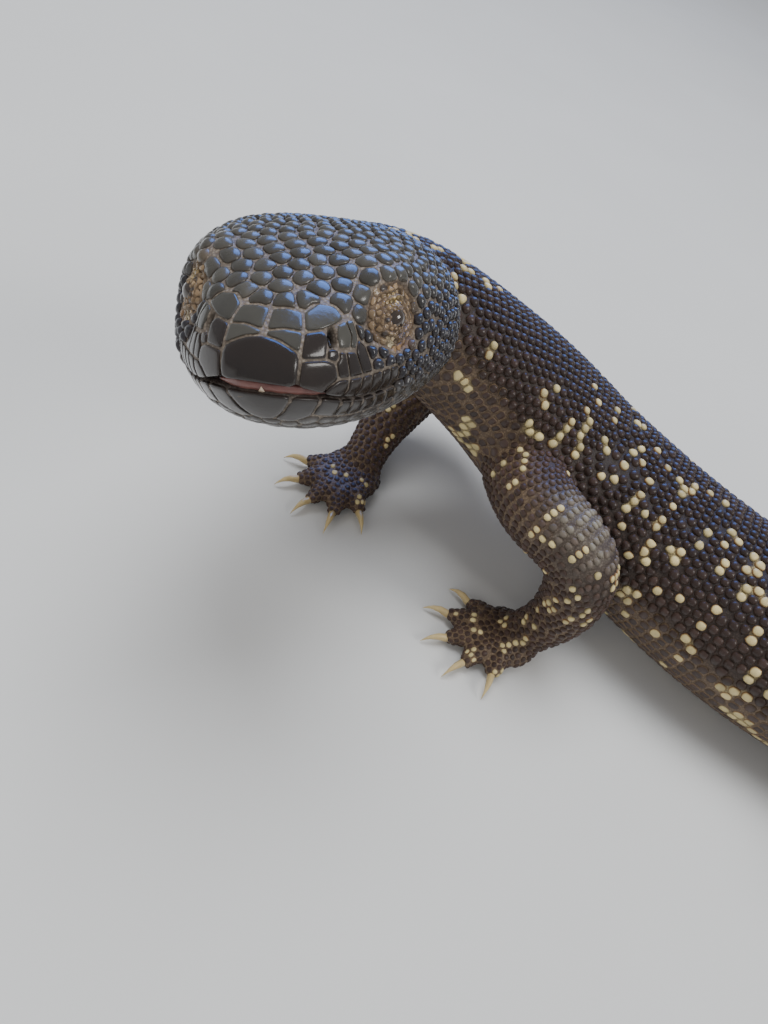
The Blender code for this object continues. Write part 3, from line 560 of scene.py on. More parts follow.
class Value:
    """A value in a material's tree. Sums on it add Math nodes, and node() adds any other."""

    def __init__(self, tree, socket=None):
        self.tree, self.socket = tree, socket

    def node(self, kind, settings=None, inputs=None, output=0):
        made = self.tree.nodes.new(kind)
        for name, value in (settings or {}).items():
            if name == "stops":
                while len(made.color_ramp.elements) < len(value):
                    made.color_ramp.elements.new(0.5)
                for element, (at, colour) in zip(made.color_ramp.elements, value):
                    element.position, element.color = at, (*colour, 1)
            else:
                setattr(made, name, value)
        for name, value in (inputs or {}).items():
            if isinstance(value, Value):
                self.tree.links.new(value.socket, made.inputs[name])
            else:
                made.inputs[name].default_value = value
        return Value(self.tree, made.outputs[output])

    def math(self, operation, other=0.0, swap=False):
        pair = (other, self) if swap else (self, other)
        return self.node("ShaderNodeMath", {"operation": operation}, {0: pair[0], 1: pair[1]})

    def __add__(self, other):
        return self.math("ADD", other)

    def __sub__(self, other):
        return self.math("SUBTRACT", other)

    def __rsub__(self, other):
        return self.math("SUBTRACT", other, swap=True)

    def __mul__(self, other):
        return self.math("MULTIPLY", other)

    def __pow__(self, other):
        return self.math("POWER", other)

    __radd__, __rmul__ = __add__, __mul__

    def mixed(self, a, b):
        """Colour a where this value is 0 and b where it is 1."""
        return self.node("ShaderNodeMix", {"data_type": "RGBA"}, {0: self, 6: a, 7: b}, 2)


def new_material(name):
    """(material, its tree as a Value, its shader's inputs)."""
    made = bpy.data.materials.new(name)
    made.use_nodes = True
    shader = made.node_tree.nodes["Principled BSDF"]
    return made, Value(made.node_tree), shader.inputs


def feed(inputs, name, value):
    value.tree.links.new(value.socket, inputs[name])


# Its finish: matt, with grains far smaller than the beads and darker patches
skin, tree, inputs = new_material("bare skin")
where = tree.node("ShaderNodeTexCoord", output=3)
grains = tree.node("ShaderNodeTexVoronoi", inputs={"Vector": where, "Scale": 1500.0})
patches = tree.node("ShaderNodeTexNoise", inputs={"Vector": where, "Scale": 120.0, "Detail": 3.0})
tint = tree.node("ShaderNodeAttribute", {"attribute_name": "tint"})
grey = grains.node("ShaderNodeValToRGB", {"stops": [(0.0, (1.0, 1.0, 1.0)), (0.6, (0.45, 0.42, 0.40))]},
                   {"Fac": grains})
coloured = tree.node("ShaderNodeMix", {"data_type": "RGBA", "blend_type": "MULTIPLY"},
                     {0: 1.0, 6: tint, 7: grey}, 2)
feed(inputs, "Base Color", (patches * 0.5).mixed(coloured, (0.025, 0.019, 0.017, 1)))
inputs["Roughness"].default_value = 0.6
relief = tree.node("ShaderNodeBump", {"invert": True},
                   {"Height": grains, "Strength": 0.5, "Distance": 0.0003})
feed(inputs, "Normal", relief)
hide.data.materials.clear()
hide.data.materials.append(skin)


# Where the beads and plates grow. Each one is a horny scale over a grain of bone, rooted in the skin. It
# has a seed there, with the scale's reach, its height, how angular it is, its colour and its place on the
# unwrap of the hide. They stand in rows across the body, as close as their sizes let them.
rng = np.random.default_rng(7)
hide.data.calc_loop_triangles()
skin_tree = BVHTree.FromPolygons([Vector(p) for p in hide_points],
                                 [tuple(t.vertices) for t in hide.data.loop_triangles])
DARK, CREAM = np.array((0.050, 0.029, 0.022)), np.array((0.74, 0.61, 0.30))
NAPE = np.array((0.019, 0.018, 0.023))
HEAD, NECK, TRUNK, TAIL, FORE, HIND, HANDS, FEET = range(8)
seeds = {key: [] for key in ("at", "size", "height", "corner", "tint", "uv", "region", "place")}


def sow(points, size, height, corner, tint, uv, region, place=None):
    """Adds seeds. Sizes, heights, corners and tints may be one value or one for each point."""
    count = len(points)
    seeds["at"].append(np.asarray(points, float))
    for key, value in (("size", size), ("height", height), ("corner", corner)):
        seeds[key].append(np.broadcast_to(np.asarray(value, float), (count,)).copy())
    seeds["tint"].append(np.broadcast_to(np.asarray(tint, float), (count, 3)).copy())
    seeds["uv"].append(np.asarray(uv, float))
    seeds["region"].append(np.full(count, region))
    seeds["place"].append(np.zeros((count, 2)) if place is None else np.asarray(place, float))


def even_angles(ring, count, shift):
    """Angles that part the ring of a surface, a function of the angle, into equal lengths."""
    turns = np.linspace(-np.pi, np.pi, 181)
    points = ring(turns)
    run = np.concatenate([[0], np.cumsum(np.linalg.norm(np.diff(points, axis=0), axis=1))])
    return np.interp((np.arange(count) + shift) / count % 1 * run[-1], run, turns)


def rows_of(surface, start, end, pitch, columns, sway=0.06):
    """Staggered rows on a surface of (place, angle), as arrays of places and angles."""
    rows = max(1, round((end - start) / pitch))
    places, angles = [], []
    for k in range(rows):
        place = start + (end - start) * (k + 0.5) / rows
        turns = even_angles(lambda a, place=place: surface(np.full(len(a), place), a), columns, 0.5 * (k % 2))
        angles.append(turns + rng.normal(0, sway, columns) * 2 * np.pi / columns)
        places.append(place + rng.normal(0, sway, columns) * (end - start) / rows)
    return np.concatenate(places), np.concatenate(angles)


def from_back(angle):
    return abs((angle + np.pi) % (2 * np.pi) - np.pi)


def of_turn(angle):
    return angle / (2 * np.pi) % 1


# Neck, trunk and tail: rows of round beads on the back and flanks, which turn to flat oblong scales on the
# belly and under the tail. Each stretch of the body is (from, to, depth of a row, scales round it, region).
BODY_ROWS = [
    (-NECK_LENGTH - STEP, 0.006, 0.0029, 46, NECK), (0.006, 0.040, 0.0028, 54, TRUNK),
    (0.040, 0.075, 0.0030, 56, TRUNK), (0.075, 0.172, 0.0033, 55, TRUNK), (0.172, 0.212, 0.0033, 50, TRUNK),
    (0.212, 0.240, 0.0034, 40, TRUNK), (0.240, 0.285, 0.0035, 32, TAIL), (0.285, 0.340, 0.0035, 28, TAIL),
    (0.340, 0.390, 0.0035, 24, TAIL), (0.390, 0.440, 0.0035, 19, TAIL), (0.440, 0.474, 0.0035, 14, TAIL),
    (0.474, 0.489, 0.0035, 9, TAIL),
]
BELLY_FROM, BELLY_ALL = math.radians(75), math.radians(88)
BEAD_REACH, BEAD_HEIGHT, OBLONG_HEIGHT = 0.00150, 0.00115, 0.0004
BEAD_CORNER, OBLONG_CORNER = 6.5, 10
for start, end, row, columns, region in BODY_ROWS:
    place, angle = rows_of(body_surface, start, end, row, columns)
    flat = np.clip((from_back(angle) - BELLY_FROM) / (BELLY_ALL - BELLY_FROM), 0, 1)
    odd = np.repeat(np.arange(len(place) // columns) % 2, columns)
    nape = np.clip((-0.045 - place) / 0.035, 0, 1)[:, None] * (1 - 0.6 * flat[:, None])
    angle = angle - odd * flat * np.pi / columns
    size = (BEAD_REACH + 0.0045 * np.clip(place - 0.03, 0, 0.07)) * np.clip(half_width(place) / 0.016, 0.6, 1)
    height = BEAD_HEIGHT * (1 - flat) + OBLONG_HEIGHT * flat
    dark = DARK * (1 - 0.35 * bump(from_back(angle), 0.9) + 0.15 * flat)[:, None]
    along = (place + NECK_LENGTH) / (NECK_LENGTH + TAIL_END)
    layout = np.stack([0.01 + 0.98 * along, 0.36 + 0.63 * of_turn(angle)], axis=1)
    sow(body_surface(place, angle), size * rng.normal(1, 0.04, len(place)),
        height * np.clip(half_width(place) / 0.014, 0.45, 1), BEAD_CORNER + OBLONG_CORNER * flat,
        dark * (1 - nape) + NAPE * nape, layout, region, np.stack([place, angle], axis=1))


# Plates of the snout and lips: broad smooth horn shields, set edge to edge in the skin. Their outlines are
# in degrees sideways and upwards from the middle of the head. The first two lie on the middle line and are
# given as half an outline, and the others are mirrored on the right side.
MIDDLE_PLATES = [
    [(0, 9.2), (7, 7.9), (16, 3.4), (15.5, -9.6), (8, -8.5), (0, -8.1)],
    [(0, -12.3), (14, -13.3), (10.5, -23), (5.5, -30), (0, -31)],
]
SIDE_PLATES = [
    [(0.3, 9.6), (7, 8.2), (16, 3.6), (17, 12), (9, 12.8), (0.3, 11.0)],
    [(16, 3.4), (17, 12), (26, 14), (28.2, 11), (27.6, 6), (27.2, 1.5), (16, 1)],
    [(16, 1), (27.2, 1.5), (32, 0), (34.5, -7.5), (29.5, -10.5), (27, -13.6), (21, -11.3), (15.5, -9.6)],
    [(27.4, 5.6), (31, 6.2), (33.4, 5.4), (34, 2.4), (32, 0), (27.2, 1.5)],
    [(33.2, 16.8), (38.5, 19.5), (41.5, 12), (40, 6), (33.4, 5.6), (32.4, 10.6)],
    [(38.5, 19.5), (43.5, 20.5), (46, 11), (43.5, 5), (40, 6), (41.5, 12)],
    [(33.4, 5.4), (37, 5.2), (40.8, -7.6), (34.5, -7.5), (32, 0), (34, 2.4)],
    [(37, 5.2), (43.5, 5), (49.5, -7), (40.8, -7.6)],
    [(43.5, 5), (46, 11), (51.5, 8), (56.5, -6), (49.5, -7)],
    [(34.5, -7.5), (40.8, -7.6), (41, -13), (38, -16.6), (31, -15), (27, -13.6), (29.5, -10.5)],
    [(40.8, -7.6), (49.5, -7), (49.5, -13), (45.5, -17.95), (38, -16.6), (41, -13)],
    [(49.5, -7), (56.5, -6), (57, -13), (53.5, -17.95), (45.5, -17.95), (49.5, -13)],
    [(56.5, -6), (63.5, -5), (64.5, -11.5), (61.5, -16.9), (53.5, -17.95), (57, -13)],
    [(63.5, -5), (70, -4), (71.5, -9.5), (69.5, -15.2), (61.5, -16.9), (64.5, -11.5)],
    [(70, -4), (76, -3), (78, -8), (77, -12.9), (69.5, -15.2), (71.5, -9.5)],
    [(0.4, 22.5), (0.4, 11.4), (9, 13.0), (17, 12.2), (16.5, 22), (8, 23.5)],
    [(16.5, 22), (17, 12.2), (26, 14), (32.8, 17), (38.5, 19.8), (35, 26.5), (25, 28)],
    [(14, -13.3), (27, -15.4), (24.5, -26), (13, -33), (5.5, -30), (10.5, -23)],
    [(27, -15.4), (39, -18.2), (38.5, -30), (24.5, -26)],
    [(39, -18.2), (46.5, -18.9), (48, -31), (38.5, -30)],
    [(46.5, -18.9), (54, -18.9), (57.5, -30.5), (48, -31)],
    [(54, -18.9), (62, -17.6), (67.5, -28.5), (57.5, -30.5)],
    [(62, -17.6), (70, -15.8), (77, -25.5), (67.5, -28.5)],
    [(70, -15.8), (77, -14.1), (86, -22), (77, -25.5)],
]
outlines = [half + [(-a, b) for a, b in half[::-1] if a > 0.1] for half in MIDDLE_PLATES]
outlines += [[(side * a, b) for a, b in outline] for outline in SIDE_PLATES for side in (1, -1)]


def filled_in(outline, corners):
    """The outline with its corners rounded, as so many points."""
    loop = np.array(outline + outline[:1], float)
    run = np.concatenate([[0], np.cumsum(np.linalg.norm(np.diff(loop, axis=0), axis=1))])
    even = np.linspace(0, run[-1], 181)[:-1]
    loop = np.stack([np.interp(even, run, loop[:, k]) for k in range(2)], axis=1)
    half = 4
    loop = sum(np.roll(loop, k, axis=0) for k in range(-half, half + 1)) / (2 * half + 1)
    after = np.roll(loop, -1, axis=0)
    if np.sum(loop[:, 0] * after[:, 1] - loop[:, 1] * after[:, 0]) < 0:
        loop = loop[::-1]
    return loop[np.linspace(0, len(loop), corners, endpoint=False).astype(int)]


def bend_terms(u, v):
    """The terms of a smoothly bent surface over u and v."""
    return np.stack([np.ones_like(u), u, v, u * u, u * v, v * v], axis=1)


HEAD_THICK = 0.027


def head_skin(sideways, upwards):
    """How far the head's plain skin is from its middle, each way."""
    found = []
    for way in way_out(np.asarray(sideways, float).ravel(), np.asarray(upwards, float).ravel()):
        hit = plain_head.ray_cast(Vector(HEAD_MIDDLE), Vector(way))
        found.append(hit[3] if hit[0] is not None else HEAD_THICK)
    return np.array(found).reshape(np.shape(sideways))


PLATE_SEAM, PLATE_CORNERS = 0.00042, 28
plates, plate_edges = [], []
for outline in outlines:
    loop = filled_in(outline, PLATE_CORNERS)
    middle = loop.mean(axis=0)
    reach = head_skin(*loop.T)
    plate_edges.append(way_out(*loop.T) * reach[:, None] + HEAD_MIDDLE)
    inner = np.concatenate([loop, middle + 0.5 * (loop - middle), middle[None]])
    fitted = np.linalg.lstsq(bend_terms(*(inner - middle).T), head_skin(*inner.T), rcond=None)[0]
    plates.append((loop, middle, fitted))
plate_edges = np.array(plate_edges) @ HEAD_AXES + head_at


def inside_plates(sideways, upwards):
    """Whether each way from the middle of the head meets a plate."""
    found = np.zeros(len(sideways), bool)
    for loop, _, _ in plates:
        within = np.zeros(len(sideways), bool)
        for (a, b), (c, d) in zip(loop, np.roll(loop, -1, axis=0)):
            slope = (c - a) * (upwards - b) / np.where(d == b, 1e-9, d - b)
            within ^= ((b > upwards) != (d > upwards)) & (sideways < slope + a)
        found |= within
    return found


# The rest of the head: granules on the lids, beads on temples and nape, many-sided ones on the crown, and
# flat scales under the chin, all of horn. They are set close together, starting round the eyes and going
# back from the snout.
CROWN_DARK, CHIN_DARK, GRANULE_DARK = (0.062, 0.058, 0.048), (0.046, 0.041, 0.037), (0.070, 0.055, 0.045)
LID_EDGE, GRANULE_LEAST, GRANULE_MOST = 0.0068, 0.00036, 0.00080
at = hide_points[head_points[:, 0] > 0.0004]
local = in_head_frame(at)
sideways, upwards, distance = ways_of(local)
angle = np.arctan2(local[:, 1], local[:, 2] - head_drop(local[:, 0]))
eye_gap = np.min([np.linalg.norm(local - place[0], axis=1) for place in eye_places], axis=0)
slit = np.min([off_place(local, place, LID_LONG * 1.25, LID_OPEN * 1.5) for place in eye_places], axis=0)
crown = np.clip((local[:, 0] - 0.028) / 0.024, 0, 1) * np.clip((1.25 - from_back(angle)) / 0.3, 0, 1)
chin = np.clip((from_back(angle) - 1.75) / 0.25, 0, 1)
size = 0.00130 + 0.00075 * crown + 0.0005 * chin
lid = np.clip((LID_EDGE - eye_gap) / 0.0006, 0, 1)
granule = np.clip(GRANULE_LEAST + 0.09 * (eye_gap - 0.0015), GRANULE_LEAST, GRANULE_MOST)
size = size * (1 - lid) + lid * granule
lip_gap = abs(np.radians(upwards - mouth_line(abs(sideways)))) * distance
open_mouth = (abs(sideways) < 86) & (local[:, 0] > 0.04) & (lip_gap < gape_at(abs(sideways)) + 0.0006)
ear_gap = np.min([off_place(local, place, EAR_WIDE + 0.0004, EAR_TALL + 0.0004) for place in ear_places],
                 axis=0)
allowed = ~inside_plates(sideways, upwards) & ~open_mouth & (slit > 1) & (ear_gap > 1)
allowed &= np.hypot((abs(sideways) - NOSTRIL_WAY[0]) / 2.2, (upwards - NOSTRIL_WAY[1]) / 4.6) > 1
edge_tree = tree_of(plate_edges.reshape(-1, 3))
edge_gap = np.array([edge_tree.find(Vector(q))[2] for q in at])
allowed &= edge_gap > 0.62 * size
order = np.lexsort((-local[:, 0] + rng.normal(0, 0.0004, len(at)), np.where(lid > 0, eye_gap, 1.0)))
order = order[allowed[order]]
cloud = tree_of(at)
free, picked = allowed.copy(), []
for k in order:
    if free[k]:
        picked.append(k)
        for _, other, away in cloud.find_range(Vector(at[k]), 2.3 * size[k]):
            if away < 0.93 * (size[k] + size[other]):
                free[other] = False
picked = np.array(picked)
local, size, lid, crown, chin = local[picked], size[picked], lid[picked], crown[picked], chin[picked]
nape = np.maximum((0.034 - local[:, 0]) / 0.016, (from_back(angle[picked]) - 1.0) / 0.3)
nape = np.clip(nape, 0, 1) * (1 - chin)
tint = np.array(CROWN_DARK) * (1 - nape[:, None]) + NAPE * nape[:, None]
tint = tint * (1 - chin[:, None]) + np.array(CHIN_DARK) * chin[:, None]
by_lid = [local - place[0] for place in eye_places]
nearer = np.linalg.norm(by_lid[0], axis=1) < np.linalg.norm(by_lid[1], axis=1)
by_lid = [np.stack([offset @ place[1], offset @ place[2]], axis=1)
          for offset, place in zip(by_lid, eye_places)]
# The granules take the lids' colours, the painted shade round the slit included.
ochre = lid_colour_and_slit_shade(np.where(nearer[:, None], *by_lid)) * rng.uniform(0.75, 1.3, (len(picked), 1))
ochre = np.where(rng.random((len(picked), 1)) < 0.10, np.array(GRANULE_DARK), ochre)
tint = tint * (1 - lid[:, None]) + ochre * lid[:, None]
height = (0.00100 - 0.00018 * crown) * (1 - chin) + 0.0004 * chin
height = height * (1 - lid) + 0.00018 * lid
across = 0.02 + 0.3 * of_turn(np.arctan2(local[:, 1], local[:, 2]))
sow(at[picked], size, height, 5 + 5 * crown + 4 * chin, tint,
    np.stack([0.01 + 0.28 * local[:, 0] / HEAD_LENGTH, across], axis=1), HEAD)


# Limbs, hands and feet: small beads of the same horn, flat scales all over the palms and backs of the
# hands, and short bands across the tops of the toes. A limb's are (row's share of its length, beads round
# it, reach).
LIMB_BEADS = {"fore": (0.0235, 32, 0.00118), "hind": (0.028, 28, 0.0014)}
LIMB_REGION, PAD_REGION = {"fore": FORE, "hind": HIND}, {"fore": HANDS, "hind": FEET}
PAD_SCALES, TOE_SCALES, TOE_ROW = 330, 9, 0.0019
for number, (limb_name, surface) in enumerate(limb_surfaces.items()):
    row, columns, size = LIMB_BEADS[limb_name[:4]]
    place, angle = rows_of(surface, 0.14, 1.0, row, columns)
    sow(surface(place, angle), size, 0.00075, 5, DARK * 1.3,
        np.stack([0.31 + 0.17 * number + 0.15 * place, 0.02 + 0.2 * of_turn(angle)], axis=1),
        LIMB_REGION[limb_name[:4]], np.stack([place, angle], axis=1))
for number, (limb_name, (middle, size, toes_along)) in enumerate(pads.items()):
    k = np.arange(PAD_SCALES) + 0.5
    height, turn = 1 - 2 * k / PAD_SCALES, k * math.pi * (3 - math.sqrt(5))
    ahead, aside = np.sqrt(1 - height**2) * np.cos(turn), np.sqrt(1 - height**2) * np.sin(turn)
    across = np.cross((0, 0, 1), toes_along)
    spots = (middle + np.outer(ahead * size[0], toes_along)
             + np.outer(aside * size[1], across) + np.outer(height * size[2], (0, 0, 1)))
    layout = np.stack([0.39 + 0.17 * number + 0.035 * ahead, 0.28 + 0.035 * aside * np.sign(height)], axis=1)
    sow(spots, 0.0011, 0.00042, 6, DARK * 1.1, layout, PAD_REGION[limb_name[:4]])
for (limb_name, number), (surface, _, _, reach) in toe_surfaces.items():
    place, angle = rows_of(surface, 0.30, 1.0, TOE_ROW / reach, TOE_SCALES, 0.03)
    column = 0.31 + 0.17 * list(LIMBS).index(limb_name) + 0.03 * number
    sow(surface(place, angle), 0.0010, 0.0004, 7, DARK * 1.1,
        np.stack([column + 0.025 * place, 0.24 + 0.04 * of_turn(angle)], axis=1), PAD_REGION[limb_name[:4]])

# All seeds are set down on the skin, those that stand too close are taken away, and the rest part a little.
SEED_OFF, CLOSEST, PLATE_GAP = 0.0020, 0.78, 0.95
seeds = {key: np.concatenate(values) for key, values in seeds.items()}


def on_skin(points):
    """The nearest points of the skin, its normals there and how far off they are."""
    found = [skin_tree.find_nearest(Vector(p)) for p in points]
    return np.array([f[0] for f in found]), np.array([f[1] for f in found]), np.array([f[3] for f in found])


def kept(mask):
    for key in seeds:
        seeds[key] = seeds[key][mask]


def neighbours(points, count):
    """For each point, its nearest others, nearest first."""
    tree = tree_of(points)
    return np.array([[found[1] for found in tree.find_n(p, count + 1)][1:] for p in points])


seeds["at"], seeds["normal"], off = on_skin(seeds["at"])
kept(off < SEED_OFF)
seed_tree, gone = tree_of(seeds["at"]), np.zeros(len(seeds["at"]), bool)
for k in range(len(gone)):
    if gone[k]:
        continue
    for _, other, away in seed_tree.find_range(seeds["at"][k], 1.6 * seeds["size"][k] + 0.0005):
        need = CLOSEST * (seeds["size"][k] + seeds["size"][other])
        if other > k and away < need and seeds["normal"][k] @ seeds["normal"][other] > -0.3:
            gone[other] = True
kept(~gone)
for _ in range(3):
    near = neighbours(seeds["at"], 7)
    apart = seeds["at"][:, None] - seeds["at"][near]
    away = np.linalg.norm(apart, axis=-1)
    wanted = seeds["size"][:, None] + seeds["size"][near]
    push = np.clip(wanted - away, 0, None) / wanted
    move = np.sum(apart * (push / np.maximum(away, 1e-6))[..., None] * wanted[..., None], axis=1) * 0.22
    seeds["at"] = seeds["at"] + move
    for k in np.flatnonzero(seeds["region"] == HEAD):
        edge, _, gap = edge_tree.find(Vector(seeds["at"][k]))
        if gap < PLATE_GAP * seeds["size"][k]:
            seeds["at"][k] += unit(seeds["at"][k] - np.array(edge)) * (PLATE_GAP * seeds["size"][k] - gap)
    seeds["at"], seeds["normal"], _ = on_skin(seeds["at"])
near = neighbours(seeds["at"], 12)
seeds["normal"] = unit(seeds["normal"] + 0.5 * seeds["normal"][near[:, :6]].sum(axis=1))


# Markings: the horn of most beads is dark chocolate to blue-black, and cream ones stand among them singly
# and in short clusters, in oblique bars behind the neck and in broken bands across the tail. On the left
# side they stand where the photo shows them, seen from the place of the camera, whose values come first.
CAMERA_AT = SHOULDERS + np.array((-0.06239, -0.20610, 0.20006))
CAMERA_DOWN, CAMERA_ASIDE, CAMERA_ROLL = math.radians(45.09), math.radians(11.84), math.radians(26.76)
FOCAL_PIXELS, PHOTO_WIDTH, PHOTO_HEIGHT = 796.3, 768, 1024
# Cream beads as (pixels from the photo's left edge, pixels from its top). Four in five are as read off it.
# The others were set up to 13 pixels away by a trial script, onto a bead of the model.
CREAM_ON_BARS = [
    (586, 411), (588, 417), (583, 433), (580, 440), (578, 448), (576, 457), (571, 422), (564, 430),
    (561, 437), (558, 445),
]
CREAM_ON_SIDE = [
    (545, 392), (547, 401), (558, 392), (596, 390), (598, 405), (529, 423), (532, 433), (538, 437),
    (614, 407), (613, 421), (632, 411), (637, 424), (644, 431), (604, 443), (604, 450), (627, 451),
    (637, 447), (642, 462), (619, 467), (658, 454), (667, 469), (644, 478), (602, 475), (612, 483),
    (637, 493), (633, 499), (627, 507), (646, 511), (672, 505), (677, 482), (687, 490), (692, 485),
    (687, 497), (691, 492), (707, 494), (722, 500), (664, 518), (658, 531), (618, 522), (707, 533),
    (700, 546), (731, 533), (724, 546), (738, 542), (651, 544), (668, 548), (681, 554), (674, 565),
    (630, 553), (640, 555), (643, 561), (722, 565), (721, 574), (743, 568), (753, 573), (754, 556),
    (760, 562), (742, 587), (740, 597), (760, 595), (653, 587), (637, 594), (680, 600), (614, 592),
    (620, 591), (627, 588), (609, 605), (630, 605), (625, 614), (709, 611), (698, 622), (686, 638),
    (693, 646), (682, 660), (760, 630), (755, 642), (758, 672), (750, 680), (742, 692), (717, 690),
    (660, 633), (600, 573), (766, 605), (746, 701), (725, 697),
]
CREAM_ON_ARM = [
    (501, 462), (525, 461), (525, 457), (526, 468), (522, 452), (512, 488), (519, 484), (478, 447),
    (493, 478), (568, 476), (532, 534), (537, 530), (545, 517), (553, 508), (563, 513), (544, 543),
    (553, 542), (548, 573), (567, 588), (553, 598), (567, 600), (578, 597), (537, 611), (526, 616),
    (545, 603), (555, 608), (534, 626), (524, 621), (507, 628), (506, 618), (518, 645), (567, 623),
    (571, 618), (572, 559), (612, 588),
]
ELBOW_PALE, ELBOW_SKIN = (0.30, 0.27, 0.215), (0.24, 0.205, 0.16)
RIM_BROWN, BELLY_RIM, ORANGE_RIM = (0.016, 0.010, 0.006), (0.26, 0.175, 0.10), (0.36, 0.19, 0.075)
BODY_CREAM, BODY_CLUSTER, LIMB_CREAM, LIMB_CLUSTER = 0.060, 0.33, 0.022, 0.45
BANDS, BANDS_WAVE, BAND_FILLED, RINGED = 5.5, 0.5, 0.80, 0.45
place, angle = seeds["place"][:, 0], seeds["place"][:, 1]
body = np.isin(seeds["region"], (NECK, TRUNK, TAIL))
seeds["tint"] *= rng.uniform(0.75, 1.35, len(seeds["at"]))[:, None]
cream = np.zeros(len(seeds["at"]), bool)
view_ahead = Vector((math.sin(CAMERA_ASIDE) * math.cos(CAMERA_DOWN),
                     math.cos(CAMERA_ASIDE) * math.cos(CAMERA_DOWN), -math.sin(CAMERA_DOWN)))
level = view_ahead.cross(Vector((0, 0, 1))).normalized()
view_right = level * math.cos(CAMERA_ROLL) + level.cross(view_ahead) * math.sin(CAMERA_ROLL)
view_up = view_right.cross(view_ahead)
marked = np.flatnonzero(np.isin(seeds["region"], (NECK, TRUNK, FORE)))
for across, down in CREAM_ON_BARS + CREAM_ON_SIDE + CREAM_ON_ARM:
    way = (view_ahead * FOCAL_PIXELS + view_right * (across - PHOTO_WIDTH / 2)
           - view_up * (down - PHOTO_HEIGHT / 2))
    spot = skin_tree.ray_cast(Vector(CAMERA_AT), way.normalized())[0]
    cream[marked[np.argmin(np.linalg.norm(seeds["at"][marked] - spot, axis=1))]] = True
degrees = np.degrees((angle + np.pi) % (2 * np.pi) - np.pi)
drawn = body & (place > -0.020) & (place < 0.118) & (degrees > -35) & (degrees < 100)
free_body = body & ~drawn
for k in np.flatnonzero(free_body & (rng.random(len(cream)) < BODY_CREAM)):
    cream[k] = True
    for other in near[k, :3]:
        cream[other] |= bool(free_body[other] and rng.random() < BODY_CLUSTER)
fraction = (place - VENT) / (TAIL_END - VENT)
banded = np.sin(2 * np.pi * fraction * BANDS + BANDS_WAVE * np.sin(3 * angle)) > 0.30
cream |= (seeds["region"] == TAIL) & banded & (rng.random(len(cream)) < BAND_FILLED)
limbs = np.isin(seeds["region"], (FORE, HIND, HANDS, FEET))
for k in np.flatnonzero(limbs & (rng.random(len(cream)) < LIMB_CREAM)):
    cream[k] = True
    for other in near[k, :3]:
        cream[other] |= bool(limbs[other] and rng.random() < LIMB_CLUSTER)
turn = (angle + np.pi) % (2 * np.pi) - np.pi
turn = np.where(seeds["at"][:, 1] < SHOULDERS[1], turn, np.pi - abs(turn))
pale = bump(np.hypot((place - 0.47) / 0.085, (turn - 0.20) / 0.80), 1.0)
pale = np.where(seeds["region"] == FORE, np.clip(1.3 * pale, 0, 1), 0.0) * rng.uniform(0.35, 1.0, len(place))
seeds["tint"] = seeds["tint"] * (1 - pale[:, None]) + np.array(ELBOW_PALE) * pale[:, None]
elbows = seeds["at"][(seeds["region"] == FORE) & (pale > 0.3)]
seeds["tint"][cream] = (CREAM * rng.uniform(0.8, 1.15, (len(cream), 1)))[cream]
# The rims: paler and browner than the bead, tan on the belly, and orange-brown round some of the cream beads
seeds["edge"] = seeds["tint"] * 1.25 + np.array(RIM_BROWN)
low = body & (from_back(angle) > BELLY_FROM) & ~cream
seeds["edge"][low] = np.array(BELLY_RIM) * rng.uniform(0.5, 1.3, (low.sum(), 1))
ringed = cream & (rng.random(len(cream)) < RINGED)
seeds["edge"][ringed] = ORANGE_RIM
seeds["edge"][cream & ~ringed] = seeds["tint"][cream & ~ringed] * 0.8
# The skin between touching cream beads is cream too, and that between the pale beads of the elbows is pale.
skin_points = tree_of(hide_points)
creamy = np.flatnonzero(cream & body)
for k, other in [(k, other) for k in creamy for other in near[k, :6] if other > k and cream[other]]:
    first, second = seeds["at"][k], seeds["at"][other]
    if np.linalg.norm(second - first) < 1.25 * (seeds["size"][k] + seeds["size"][other]):
        for _, spot, _ in skin_points.find_range(Vector((first + second) / 2), 0.0014):
            ground[spot] = CREAM * 0.75
for q in elbows:
    for _, spot, _ in skin_points.find_range(Vector(q), 0.0016):
        ground[spot] = ELBOW_SKIN
colours = np.concatenate([ground, np.ones((len(ground), 1))], axis=1).astype(np.float32)
hide.data.attributes.new("tint", "FLOAT_COLOR", "POINT").data.foreach_set("color", colours.ravel())


# The scales as solid pieces: horn over bone, hard, glossy where they are rubbed, and duller and dusty round
# the rim. Each fills the room between its neighbours up to the seam, is sunk into the skin with its rim,
# and is domed or flat-topped. It carries its colour and how far each point is from its middle.
DOME = [(1.0, -0.35), (0.97, 0.30), (0.80, 0.66), (0.45, 0.93)]
SEAM, BELLY_SEAM, RIM_LIFT, FLOOR_LEAST, TRUNK_PARTED = 0.00022, 2.2, 0.0010, 0.0001, 0.115
# The olive of the upper snout plates is partly painted sheen, paler where they face the light from above; the
# other plates are dark brown.
PLATE_HEIGHT, PLATE_OLIVE_SHEEN, PLATE_BROWN = 0.00042, (0.058, 0.055, 0.046), (0.022, 0.016, 0.013)


